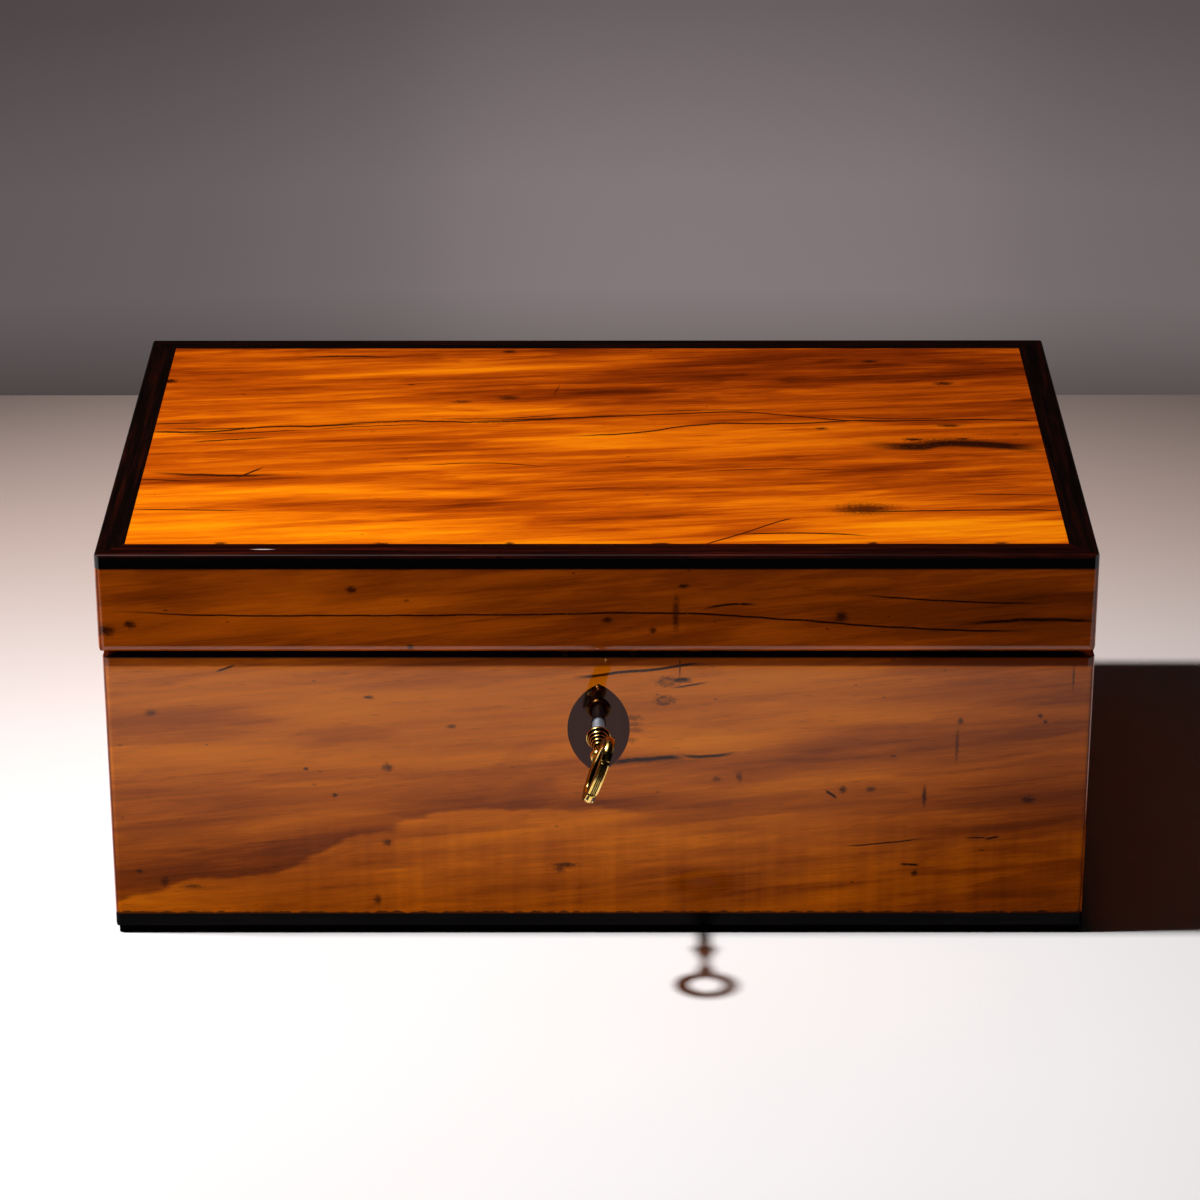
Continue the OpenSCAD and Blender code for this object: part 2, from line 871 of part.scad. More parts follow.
module lid_end_rail(side) {
    rail(side) turn_over_axis() bevel_cut();
}

module lid_panel() {
    color(satinwood) in_lid() {
        tongue(0);
        translate([border_w - box_w / 2, border_w + front_y, panel_low])
            cube([box_w - 2 * border_w, box_d - 2 * border_w, panel_t]);
    }
}

module border(side) {
    color(rosewood) in_lid() translate([0, 0, border_low])
        ring_side(side, box_w, box_d, border_w, border_w, border_h, corner_r, 0, border_arris);
}

module lid_lining(side) {
    low = lip_top + lid_seat;
    color(cedar) in_lid() translate([0, 0, low])
        ring_side(side, lid_room_w, lid_room_d, lining_t, lining_t, panel_low - low);
}

// Link plate

module at_link_screws() {
    for (x = [-link_screw_x, link_screw_x]) {
        translate([x, lock_y, lid_low]) rotate([180, 0, 0]) children();
    }
}

module link_screw_holes() {
    at_link_screws() screw_hole(lock_head_r, lock_shank_r, link_screw_l);
}

module link_plate() {
    color(brass) difference() {
        union() {
            translate([-link_l / 2, lock_y - link_w / 2, lid_low]) cube([link_l, link_w, link_t]);
            at_loops() translate([-loop_t / 2, -loop_w / 2, loop_low])
                cube([loop_t, loop_w, lid_low - loop_low + link_t / 2]);
        }
        at_loops() translate([-loop_t / 2 - past, -eye_w / 2, finger_low - eye_play])
            cube([loop_t + 2 * past, eye_w, finger_h + 2 * eye_play]);
        link_screw_holes();
    }
}

module link_screws() {
    color(brass) at_link_screws() screw(lock_head_r, lock_shank_r, link_screw_l);
}

foot_board();
band(FRONT);  // band_front
band(RIGHT);  // band_right
band(BACK);  // band_back
band(LEFT);  // band_left
floor_board();
front_board();
end_board(RIGHT);  // right_board
back_board();
end_board(LEFT);  // left_board
lining_front();
lining(RIGHT);  // lining_right
lining(BACK);  // lining_back
lining(LEFT);  // lining_left
base_screws();
escutcheon();
lock_plate();
lock_cap();
drill_pin();
bolt_stump();
lock_screws();
lock_bolt();
key_shank();
key_handle();
lower_leaf(-1);  // hinge_left_lower_leaf
lower_leaf(1);  // hinge_right_lower_leaf
hinge_pin(-1);  // hinge_left_pin
hinge_pin(1);  // hinge_right_pin
hinge_lower_screws();
upper_leaf(-1);  // hinge_left_upper_leaf
upper_leaf(1);  // hinge_right_upper_leaf
hinge_upper_screws();
lid_front_rail();
lid_end_rail(RIGHT);  // lid_right_rail
lid_back_rail();
lid_end_rail(LEFT);  // lid_left_rail
lid_panel();
border(FRONT);  // border_front
border(RIGHT);  // border_right
border(BACK);  // border_back
border(LEFT);  // border_left
lid_lining(FRONT);  // lid_lining_front
lid_lining(RIGHT);  // lid_lining_right
lid_lining(BACK);  // lid_lining_back
lid_lining(LEFT);  // lid_lining_left
link_plate();
link_screws();
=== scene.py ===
import math

import bmesh
import bpy
from mathutils import Matrix, Vector


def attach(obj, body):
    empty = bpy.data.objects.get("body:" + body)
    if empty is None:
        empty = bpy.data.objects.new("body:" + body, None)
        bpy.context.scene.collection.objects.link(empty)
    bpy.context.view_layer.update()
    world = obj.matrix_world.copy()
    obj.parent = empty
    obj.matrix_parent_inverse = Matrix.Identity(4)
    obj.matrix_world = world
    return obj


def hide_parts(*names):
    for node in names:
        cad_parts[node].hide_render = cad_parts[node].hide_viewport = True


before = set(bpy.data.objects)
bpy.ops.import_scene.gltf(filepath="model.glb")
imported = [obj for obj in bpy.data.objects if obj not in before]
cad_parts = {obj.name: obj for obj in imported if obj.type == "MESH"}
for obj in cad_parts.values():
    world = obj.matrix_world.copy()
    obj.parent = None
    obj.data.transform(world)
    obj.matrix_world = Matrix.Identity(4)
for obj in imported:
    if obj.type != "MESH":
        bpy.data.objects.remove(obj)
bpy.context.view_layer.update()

# Lengths in this script are millimetres in the row frame, and Blender gets them in metres.
MM = 0.001

# Places on the box that its dirt, wear, tones and painted shade keep to
HALF_DEPTH = 107.5
BAND_TOP = 7.9
BODY_TOP = 109.4
BODY_HALF = 174.4
LID_LOW = 111.0
LID_TOP = 148.5
LID_HALF = 175.0
LID_SHIFT = -0.6
BORDER_LOW = 143.2


def srgb(red, green, blue):
    """A colour given as 0 to 255 on a screen, as the linear colour that a shader takes."""
    shares = [tone / 255 for tone in (red, green, blue)]
    return (*(s / 12.92 if s < 0.0405 else ((s + 0.055) / 1.055) ** 2.4 for s in shares), 1)


# Shader maths

class Value:
    """A number or colour that varies. Python's operators on it add Math nodes."""

    def __init__(self, shading, socket):
        self.shading = shading
        self.socket = socket

    def math(self, operation, *others):
        return self.shading.node("ShaderNodeMath", (self, *others), operation=operation)

    def __add__(self, other):
        return self.math("ADD", other)

    __radd__ = __add__

    def __sub__(self, other):
        return self.math("SUBTRACT", other)

    def __rsub__(self, other):
        return self.shading.node("ShaderNodeMath", (other, self), operation="SUBTRACT")

    def __mul__(self, other):
        return self.math("MULTIPLY", other)

    def __truediv__(self, other):
        return self.math("DIVIDE", other)

    def __abs__(self):
        return self.math("ABSOLUTE")

    def __or__(self, other):
        """The larger of the two."""
        return self.math("MAXIMUM", other)

    def scaled(self, factor, plus):
        """The value times factor, plus plus."""
        return self.math("MULTIPLY_ADD", factor, plus)

    def fade(self, none, full):
        """0 where the value is none, 1 where it is full, and smooth between them."""
        sockets = (self, none, full)
        return self.shading.node("ShaderNodeMapRange", sockets, interpolation_type="SMOOTHSTEP")


def set_stops(elements, stops):
    """Gives a colour ramp its stops, as (place, colour)."""
    while len(elements) < len(stops):
        elements.new(1.0)
    for element, (place, colour) in zip(elements, stops):
        element.position = place
        element.color = colour


def set_bends(mapping, bends):
    """Gives a curve the points that it runs through."""
    mapping.use_clip = False
    curve = mapping.curves[0]
    while len(curve.points) < len(bends):
        curve.points.new(0.5, 0.5)
    for point, place in zip(curve.points, bends):
        point.location = place
    mapping.update()


# Sockets of the Mix node when it mixes colours
MIX_SHARE, MIX_FIRST, MIX_SECOND, MIX_RESULT = 0, 6, 7, 2


class Shading:
    """The nodes of one material or of the world."""

    def __init__(self, tree):
        self.tree = tree

    def node(self, kind, sockets=(), out=0, stops=None, bends=None, **settings):
        """Adds a node and returns its output out, or None where out is None.

        sockets are values for its inputs, or other nodes' Values to link to them, in order or by
        name. stops belong to a ramp, bends to a curve, and settings to the node itself.
        """
        made = self.tree.nodes.new(kind)
        for name, value in settings.items():
            setattr(made, name, value)
        if stops:
            set_stops(made.color_ramp.elements, stops)
        if bends:
            set_bends(made.mapping, bends)
        named = sockets if isinstance(sockets, dict) else dict(enumerate(sockets))
        for key, value in named.items():
            if isinstance(value, Value):
                self.tree.links.new(value.socket, made.inputs[key])
            else:
                made.inputs[key].default_value = value
        return None if out is None else Value(self, made.outputs[out])

    def split(self, vector):
        """The three numbers of a vector, by letter."""
        return {axis: self.node("ShaderNodeSeparateXYZ", (vector,), out=axis) for axis in "XYZ"}

    def ramp(self, value, stops):
        """The colour at value between the stops' colours."""
        return self.node("ShaderNodeValToRGB", (value,), stops=stops)

    def mix(self, share, first, second, blend="MIX"):
        """The first colour, with a share of the second laid over it."""
        sockets = {MIX_SHARE: share, MIX_FIRST: first, MIX_SECOND: second}
        settings = {"data_type": "RGBA", "blend_type": blend}
        return self.node("ShaderNodeMix", sockets, out=MIX_RESULT, **settings)

    def vector(self, operation, *sockets, out=0):
        """Maths on vectors."""
        return self.node("ShaderNodeVectorMath", sockets, out=out, operation=operation)


# How far apart, along X, Y and Z, two neighbouring seeds take their noise
SEED_STEPS = (7.3, 3.1, 5.7)


class Finish(Shading):
    """A material on the Principled shader, with the surface's place in millimetres."""

    def __init__(self, name, **constants):
        self.material = bpy.data.materials.new(name)
        self.material.use_nodes = True
        super().__init__(self.material.node_tree)
        self.shader = self.tree.nodes["Principled BSDF"]
        for socket, value in constants.items():
            self.shader.inputs[socket.replace("_", " ")].default_value = value
        metres = self.node("ShaderNodeTexCoord", out="Object")
        self.place = self.node("ShaderNodeVectorMath", {0: metres, "Scale": 1 / MM}, operation="SCALE")
        self.axes = self.split(self.place)

    def noise(self, size, seed, detail=3.0, warp=0.0, place=None):
        """Noise from about 0.2 to 0.8 whose features are size = (x, y, z) millimetres."""
        shrink = [1 / s for s in size]
        shift = [seed * step for step in SEED_STEPS]
        moved = self.vector("MULTIPLY_ADD", place or self.place, shrink, shift)
        sockets = {"Vector": moved, "Scale": 1.0, "Detail": detail, "Distortion": warp}
        return self.node("ShaderNodeTexNoise", sockets)

    def bump(self, height, depth):
        """Relief of depth millimetres for a height from 0 to 1."""
        return self.node("ShaderNodeBump", {"Height": height, "Distance": depth * MM})

    def wear(self, **links):
        """Links the values that vary to the shader's sockets."""
        for socket, value in links.items():
            self.tree.links.new(value.socket, self.shader.inputs[socket.replace("_", " ")])
        return self.material


POLISH = {"IOR": 1.5, "Specular_IOR_Level": 0.0, "Coat_Roughness": 0.05, "Coat_IOR": 1.5}


class Wood(Finish):
    """A polished board.

    grain names three axes: along the grain, across it in the board's face, and through the board.
    coat is the weight of the polish, and slant how far the figure climbs across for each millimetre
    along.
    """

    def __init__(self, name, grain, coat=1.0, slant=0.0, **constants):
        super().__init__(name, **(POLISH | {"Coat_Weight": coat} | constants))
        self.grain = grain
        self.along, self.across = self.axes[grain[0]], self.axes[grain[1]]
        self.flow = self.place
        if slant:
            climb = self.node("ShaderNodeCombineXYZ", {"XYZ".index(grain[1]): self.along * -slant})
            self.flow = self.vector("ADD", self.place, climb)

    def spread(self, along, across, through):
        """Three numbers along, across and through the board, in the order X, Y, Z."""
        named = dict(zip(self.grain, (along, across, through)))
        return [named[letter] for letter in "XYZ"]

    def figure(self, length, width, seed, detail=3.0, warp=0.0):
        """Noise about 0, drawn out along the grain."""
        size = self.spread(length, width, width * 1.6)
        return self.noise(size, seed, detail, warp, self.flow) - 0.5

    def streak(self, path, half, soft, waver, ends):
        """1 on a line that follows path = [(along, across), ...] and 0 away from it."""
        start, end = path[0][0], path[-1][0]
        middle = self.node("ShaderNodeFloatCurve", {"Value": self.along}, bends=path)
        near = abs(self.across - middle + waver).fade(half + soft, half)
        length = (end - start) / 2
        return near * abs(self.along - (start + end) / 2).fade(length + ends, length - ends)

    def spot(self, along, across, length, width, soft, edge):
        """1 in an oval and 0 outside it, with an edge that wanders by the value edge."""
        shrink = self.spread(1 / length, 1 / width, 0)
        shift = self.spread(-along / length, -across / width, 0)
        inside = self.vector("MULTIPLY_ADD", self.place, shrink, shift)
        reach = self.vector("LENGTH", inside, out="Value")
        return (reach + edge).fade(1 + soft, 1 - soft)

    def below(self, path, soft, waver):
        """1 on the lower side of a line that follows path, and 0 above it."""
        edge = self.node("ShaderNodeFloatCurve", {"Value": self.along}, bends=path)
        return (edge - self.across + waver).fade(-soft, soft)

    def specks(self, length, width, seed, share, size):
        """Small dashes along the grain, in that share of the cells of length by width.

        size is half a dash's length as a share of its cell's.
        """
        shrink = self.spread(1 / length, 1 / width, 0.0025)
        moved = self.vector("MULTIPLY_ADD", self.place, shrink, [seed] * 3)
        cells = {"Vector": moved, "Scale": 1.0}
        reach = self.node("ShaderNodeTexVoronoi", cells, out="Distance")
        colour = self.node("ShaderNodeTexVoronoi", cells, out="Color")
        chance = self.node("ShaderNodeSeparateColor", (colour,), out="Red")
        bulk = self.node("ShaderNodeSeparateColor", (colour,), out="Green")
        dash = (reach / bulk.scaled(size, size * 0.3)).fade(1.3, 0.6)
        return dash * chance.fade(share + 0.01, share)


# Woods

# Red of a golden wood from dark to bright, and its blue as a share of its red
RED_TONES = ((0.0, 0.107), (0.25, 0.27), (0.5, 0.54), (0.75, 0.84), (1.0, 1.0))
BLUE_SHARE = 0.002
# Colour of cracks and the other dark marks, and of the painted shade in the lid gap
CRACK_AND_SHADE_COLOUR = srgb(26, 8, 3)
DUST_COLOUR = srgb(235, 200, 160)

# How soft the edges of the ovals are, as a share of their radius
FLAME_EDGE, BLOT_EDGE, KNOT_EDGE, HEART_EDGE = 0.75, 0.7, 0.5, 0.6

# Brightness of the boards with strewn marks, and of the panel
STREWN_TONE = 0.42
PANEL_TONE = 0.60


def amber(low, high, bend=2):
    """Tones from dark to bright.

    Green is the share low of the red at the dark end and high at the bright end. A larger bend keeps
    more of the tones near low.
    """
    tones = []
    for place, red in RED_TONES:
        green = red * (low + (high - low) * place ** bend)
        tones.append((place, (red, green, red * BLUE_SHARE, 1)))
    return tones


def satin_tone(wood, seed):
    """The figure that all the golden boards share, from 0 for dark to 1 for bright."""
    broad = wood.figure(130, 15, seed, 4.0, 0.6)
    middle = wood.figure(60, 4.5, seed + 1, 5.0, 0.5)
    flame = wood.figure(72, 10, seed + 3, 7.0, 1.0).fade(-0.06, 0.06)
    fine = wood.figure(22, 0.8, seed + 2, 3.0)
    fibre = wood.figure(5, 0.45, seed + 13, 2.0)
    return broad * 0.75 + middle * 0.7 + fine * 0.38 + fibre * 0.2 + flame.scaled(0.14, -0.07)


def satin_finish(wood, tone, stops, dark, seed, coat=None):
    """Colour, gloss and relief of a golden board from its tone and the mask dark of its marks, which
    may hold painted shade.
    """
    pores = wood.specks(9, 1.1, seed + 5, 0.22, 0.22) * 0.2
    pits = wood.specks(17, 7, seed + 6, 0.15, 0.07) * 0.55
    bits = wood.specks(37, 15, seed + 7, 0.2, 0.045) * 0.7
    dots = wood.specks(10, 5, seed + 14, 0.16, 0.055) * 0.75
    dust = wood.specks(45, 45, seed + 8, 0.2, 0.012)
    marks = dark | pits | bits | dots | pores
    colour = wood.mix(marks, wood.ramp(tone, stops), CRACK_AND_SHADE_COLOUR)
    colour = wood.mix(dust, colour, DUST_COLOUR)
    polish = {"Coat_Weight": coat} if coat else {}
    relief = wood.bump(1 - dark, 0.1)
    return wood.wear(Base_Color=colour, Normal=relief, Roughness=0.34 + marks * 0.3, **polish)


def unworn(wood, half):
    """1 on a board that reaches half to each side, and 0 on its arrises, where the polish is gone."""
    return abs(wood.along).fade(half - 0.3, half - 1.3)


def planned_board(name, grain, seed, stops, tone, marks, coat=None, gap_shade_and_dark_edges=None):
    """A golden board with its own flames, lines, blots and knots.

    tone(wood, seed) gives its brightness, coat(wood) the weight of its polish, and the last argument
    its share of painted shade in the lid gap and of darker arrises and joints.
    """
    wood = Wood(name, grain, slant=0.1)
    shade = tone(wood, seed)
    edge = wood.figure(26, 6, seed + 9, 4.0) * 0.9
    for along, across, length, width, gain in marks["flames"]:
        shade = wood.spot(along, across, length, width, FLAME_EDGE, edge).scaled(gain, shade)
    waver = wood.figure(10, 30, seed + 10, 4.0)
    rag = wood.figure(1.4, 0.7, seed + 11, 4.0) * 2.2
    dark = 0.0
    for path, half, soft, wander, ends in marks["lines"]:
        dark = wood.streak(path, half, soft, waver * wander, ends) | dark
    dark = dark * (rag + 0.75).fade(0.0, 0.6)
    for along, across, length, width, depth in marks["blots"]:
        dark = wood.spot(along, across, length * 1.15, width * 1.15, BLOT_EDGE, rag) * depth | dark
    for along, across, length, width in marks["knots"]:
        whole = wood.spot(along, across, length, width, KNOT_EDGE, rag)
        heart = wood.spot(along, across, length * 0.62, width * 0.5, HEART_EDGE, rag * -0.8)
        dark = (whole - heart * 0.62) * 0.8 | dark
    # Painted shade in the lid gap, with darker arrises and joints
    if gap_shade_and_dark_edges:
        dark = gap_shade_and_dark_edges(wood) | dark
    return satin_finish(wood, shade, stops, dark * 0.95, seed, coat and coat(wood))


def satin_board(name, grain, seed, half):
    """A golden board that reaches half to each side, with strewn marks and dirty arrises."""
    wood = Wood(name, grain, slant=0.06)
    cracks = wood.specks(90, 2.2, seed + 10, 0.03, 0.22) * 0.85
    coat = unworn(wood, half)
    ends = (1 - coat) * 0.85
    tone = satin_tone(wood, seed) + STREWN_TONE
    return satin_finish(wood, tone, amber(0.13, 0.26), cracks | ends, seed, coat)


def panel_tone(wood, seed):
    """Painted light and shade: darker and redder towards the back and the right, brighter along the
    front.
    """
    # Painted shade towards the back and the right, and painted light along the front
    back = wood.across.fade(-90, 100) * -0.22
    front = wood.across.fade(-60, -95) * 0.12
    right = wood.along.fade(-40, 165) * -0.10
    return satin_tone(wood, seed) + PANEL_TONE + back + front + right


# Marks of the photographed boards, at places along and across the grain: flames are
# (along, across, length, width, gain), lines (path, half width, soft edge, waver, soft ends), blots
# (along, across, length, width, depth) and knots (along, across, length, width)

PANEL_MARKS = {
    "flames": (
        (4, 43, 46, 9, -0.22),
        (80, 72, 60, 14, -0.20),
        (-60, -62, 60, 6, -0.30),
        (-30, -43, 60, 5, -0.22),
        (130, -40, 50, 14, -0.14),
        (10, -80, 70, 8, -0.16),
        (-140, -36, 26, 4, -0.28),
        (-130, -82, 42, 14, 0.26),
        (-100, -52, 60, 7, 0.20),
        (-70, 76, 60, 9, 0.22),
        (-60, 32, 90, 9, 0.14),
        (40, -58, 60, 6, 0.20),
        (130, -82, 44, 9, 0.34),
        (20, 2, 70, 12, 0.14),
    ),
    "lines": (
        ([(-166, 9), (-146, 9), (-123, 14), (-105, 15), (-89, 17)], 0.45, 0.7, 2.2, 6),
        ([(-158, 12), (-140, 12), (-123, 14)], 0.2, 0.6, 2.0, 5),
        ([(-152, 6.5), (-130, 8), (-112, 11)], 0.2, 0.4, 1.6, 6),
        ([(-104, 12), (-84, 15), (-66, 16)], 0.15, 0.4, 1.6, 6),
        ([(-58, 22), (-34, 23), (-16, 26)], 0.15, 0.4, 1.8, 6),
        ([(14, 29), (38, 31), (58, 31)], 0.12, 0.4, 1.6, 8),
        ([(94, 24), (112, 22), (128, 23)], 0.15, 0.4, 1.2, 6),
        ([(-158, -32), (-138, -34), (-120, -34)], 0.2, 1.6, 2.4, 10),
        ([(-112, 88), (-96, 89), (-84, 88)], 0.2, 1.2, 1.8, 8),
        ([(-62, -24), (-44, -22), (-22, -25)], 0.15, 0.4, 1.8, 6),
        ([(40, -30), (66, -28), (88, -29)], 0.12, 0.4, 1.8, 8),
        ([(-166, 17), (-150, 18)], 0.2, 0.5, 1.0, 3),
        ([(-96, 17), (-70, 20), (-56, 19), (-38, 19), (-24, 21), (8, 26)], 0.25, 0.9, 3.4, 16),
        (
            [(-44, 20), (-24, 22), (0, 24), (28, 27), (52, 29), (69, 26), (90, 21), (110, 19)],
            0.25, 0.5, 1.0, 10,
        ),
        ([(86, 21), (110, 20), (132, 21), (164, 20)], 0.3, 0.5, 1.2, 6),
        ([(-6, 5), (21, 10), (27, 13), (44, 17), (64, 17), (81, 18), (98, 21)], 0.3, 0.7, 1.6, 10),
        ([(85, -68), (109, -68), (137, -67), (166, -67)], 0.28, 0.5, 1.4, 8),
        ([(128, -52), (166, -53)], 0.15, 0.4, 0.8, 8),
        ([(51, -89), (76, -88), (92, -90)], 0.25, 0.6, 1.0, 6),
        ([(38, -97.5), (40, -96), (51, -88), (66, -76), (68, -75)], 0.3, 0.4, 0.0, 2),
        ([(-166, -66), (-128, -67)], 0.22, 0.4, 0.6, 6),
        ([(-166, -38), (-150, -39)], 0.25, 0.4, 0.6, 4),
        ([(-149, -1), (-124, 3)], 0.25, 0.6, 1.6, 5),
        ([(-131, -36), (-123, -27)], 0.5, 0.6, 0.6, 2),
        ([(-17, 46), (-16.5, 50), (-15.2, 56), (-15, 60)], 0.5, 0.6, 0.0, 0.6),
        ([(104, -5), (119, -6), (131, -3), (142, -4), (160, -8)], 1.6, 3.6, 3.0, 10),
    ),
    "blots": (
        (-132, -96.8, 1.6, 0.8, 0.9),
        (-76, -97.2, 2.4, 0.6, 0.9),
        (-31, -97.0, 1.2, 0.7, 0.9),
        (22, -97.2, 2.6, 0.5, 0.9),
        (96, -97.0, 1.4, 0.8, 0.9),
        (141, -96.9, 2.0, 0.6, 0.9),
        (130, -2, 11, 3.4, 0.8),
        (95, -66, 8, 4, 0.8),
        (117, 1, 3.2, 1.1, 1.0),
        (135, 1.5, 2.2, 0.9, 1.0),
        (131, 15, 3.6, 1.2, 0.9),
        (83, 12, 1.8, 1.0, 0.9),
        (132, 59, 3.0, 1.6, 0.9),
        (105, 83, 2.6, 1.2, 0.9),
        (-35, 94, 2.2, 1.2, 0.9),
        (-34, 44, 3.2, 1.6, 0.8),
        (-52, 40, 3.0, 1.2, 0.7),
        (-165, 62, 2.4, 1.6, 1.0),
    ),
    "knots": (),
}


# Upper edge of the bright wedge low on the front
WEDGE = [
    (-176, 13), (-155, 19), (-122, 26), (-107, 29), (-90, 36), (-60, 46), (-30, 49), (10, 49), (60, 50),
]


def front_tone(wood, seed):
    """Brighter towards the top, with a bright wedge and a ripple across the grain low down, a strip of
    painted shade under the top edge and painted shade towards the right.
    """
    rise = wood.across.fade(8, 92) * 0.36
    # Painted shade of the lid in a strip just under the body's top edge
    strip = wood.across.fade(BODY_TOP - 3.8, BODY_TOP - 2.8)
    strip = strip * wood.along.fade(-60, 40).scaled(-0.13, -0.39)
    # Painted shade towards the right, away from the lamp
    right = wood.along.fade(60, 176) * -0.26
    frayed = wood.along.fade(60, -10)
    waver = wood.figure(34, 12, seed + 12, 5.0) * 14
    inside = wood.below(WEDGE, 1.2, waver)
    wedge = inside * frayed * 0.13
    above = [(along, across + 10) for along, across in WEDGE]
    shade = wood.below(above, 9, waver) * inside.scaled(-1, 1) * frayed * -0.17
    ripple = wood.noise((5, 60, 90), seed + 4, 4.0, 0.0) - 0.5
    ripple = ripple * wood.across.fade(54, 34) * wood.along.fade(-150, -90) * 0.26
    return satin_tone(wood, seed) * 0.62 + 0.325 + rise + strip + right + wedge + shade + ripple


def dull_at_the_foot(wood):
    """Polish of the front: rich at the top, thin near the base and gone on the upright arrises."""
    rise = (wood.across - wood.along.fade(40, 170) * 25).fade(0, 104).scaled(0.78, 0.02)
    return rise * unworn(wood, BODY_HALF)


def front_gap_shade_and_dark_edges(wood):
    """Painted shade of the lid gap along the top edge, and darker on the upright arrises and in the
    joint with the base.
    """
    ends = abs(wood.along).fade(BODY_HALF - 1.6, BODY_HALF - 0.6) * 0.9
    joint = wood.across + wood.figure(4, 30, 61.0, 4.0) * 3
    joint = joint.fade(BAND_TOP + 1.1, BAND_TOP + 0.5) * 0.85
    # Near black along the top edge: painted shade of the lid gap
    return wood.across.fade(BODY_TOP - 0.4, BODY_TOP - 0.1) * 0.97 | ends | joint


FRONT_MARKS = {
    "flames": (
        (-100, 92, 70, 5, 0.08),
        (-118, 72, 56, 3.5, 0.14),
        (-148, 85, 34, 5, -0.14),
        (-70, 79, 60, 6, -0.08),
        (-150, 50, 40, 6, -0.09),
        (-104, 17, 26, 7, -0.13),
        (-163, 14, 16, 4, 0.12),
        (28, 76, 30, 4, 0.20),
        (52, 68, 60, 5, -0.16),
        (60, 99, 60, 4, 0.10),
        (110, 78, 60, 6, -0.10),
        (130, 94, 50, 5, -0.12),
        (110, 64, 40, 4, 0.08),
        (80, 38, 90, 9, 0.10),
        (120, 22, 60, 8, 0.06),
        (20, 36, 30, 6, 0.10),
        (-20, 16, 30, 6, -0.10),
        (34, 20, 20, 5, -0.14),
    ),
    "lines": (
        ([(-6, 102), (1, 102.6), (7.4, 103.8), (20, 104.8), (29, 106.4), (35, 107)], 0.3, 0.45, 0.8, 4),
        ([(26, 100.3), (28.6, 100.9), (32, 100.8)], 0.3, 0.7, 0.8, 1.5),
        ([(27, 97.8), (31, 98.4), (37, 99.6)], 0.12, 0.4, 0.5, 3),
        ([(5, 68.2), (14, 69.3), (21, 70.1), (29, 70.4)], 0.35, 1.0, 2.4, 3),
        ([(30, 71.3), (36, 70.8), (47, 72)], 0.2, 0.8, 2.0, 4),
        ([(90, 35.2), (106, 36.7), (114, 37.8)], 0.1, 0.4, 1.0, 4),
        ([(81, 57), (82.5, 56), (84.6, 54.4)], 0.35, 0.5, 0.4, 0.6),
        ([(108.5, 27.8), (114.5, 27.5)], 0.25, 0.4, 0.3, 1),
        ([(132, 38.4), (138.5, 38.4)], 0.12, 0.35, 0.3, 1.5),
        ([(138.6, 37.9), (143, 38.8)], 0.25, 0.4, 0.3, 1),
        ([(-134, 104.2), (-128, 106.3)], 0.2, 0.4, 0.3, 1),
    ),
    "blots": (
        (28.6, 105.6, 0.22, 3.2, 0.9),
        (12.2, 86.0, 2.6, 0.8, 0.6),
        (12.6, 83.4, 2.0, 0.7, 0.55),
        (13.2, 81.2, 2.2, 0.8, 0.55),
        (11.6, 77.2, 1.5, 0.8, 0.5),
        (116, 55, 0.6, 3.0, 0.9),
        (127, 75, 0.5, 5.0, 0.65),
        (167.1, 101.6, 0.35, 3.6, 0.7),
        (113.3, 24.2, 1.0, 1.0, 0.9),
        (87, 57.6, 1.0, 1.0, 0.9),
        (97, 57.8, 1.4, 0.8, 0.8),
        (153, 53.6, 1.9, 1.1, 0.85),
        (50, 62.6, 0.9, 1.5, 0.7),
        (42, 61.8, 1.2, 0.7, 0.7),
        (128, 84.6, 0.8, 1.0, 0.8),
        (156, 86.6, 0.7, 0.7, 0.9),
        (158, 84.2, 0.6, 0.6, 0.9),
        (-75, 66.5, 1.4, 1.2, 0.8),
        (-75.5, 36.6, 1.5, 1.0, 0.8),
        (-79.5, 13.4, 1.2, 1.6, 0.8),
        (-12, 27.6, 3.4, 0.8, 0.85),
        (-14, 26.2, 1.5, 1.4, 0.7),
        (-94, 55.5, 0.8, 0.6, 0.9),
        (-104, 66, 0.7, 0.5, 0.9),
        (-81, 94, 1.3, 0.5, 0.9),
        (-52, 82.6, 1.4, 0.6, 0.8),
        (-158, 88, 1.6, 1.0, 0.7),
        (-165, 25, 0.9, 0.6, 0.8),
        (-156, 21, 1.2, 1.6, 0.7),
        (-146, 19, 3.0, 0.7, 0.7),
        (18, 69.2, 12, 1.0, 0.45),
        (29.3, 100.5, 2.6, 0.8, 0.85),
    ),
    "knots": (
        (24.3, 100.0, 3.2, 1.8),
        (23.2, 92.8, 3.2, 1.7),
    ),
}


def rail_tone(wood, seed):
    """Even, with painted shade a little darker towards the right."""
    # Painted shade towards the right, away from the lamp
    return satin_tone(wood, seed) * 0.65 + 0.335 + wood.along.fade(60, 176) * -0.11


def rail_polish(wood):
    """Full, and gone on the upright arrises."""
    return unworn(wood, LID_HALF)


def rail_gap_shade_and_dark_edges(wood):
    """Painted shade of the gap on the lid's lower edge, and darker on the upright arrises and under the
    border.
    """
    ends = abs(wood.along - LID_SHIFT).fade(LID_HALF - 1.6, LID_HALF - 0.6) * 0.9
    joint = wood.across + wood.figure(6, 30, 62.0, 3.0) * 0.8
    joint = joint.fade(BORDER_LOW - 0.6, BORDER_LOW - 0.2) * 0.6
    # Near black along the lower edge: painted shade of the lid gap
    return wood.across.fade(LID_LOW + 0.08, LID_LOW - 0.05) * 0.97 | ends | joint


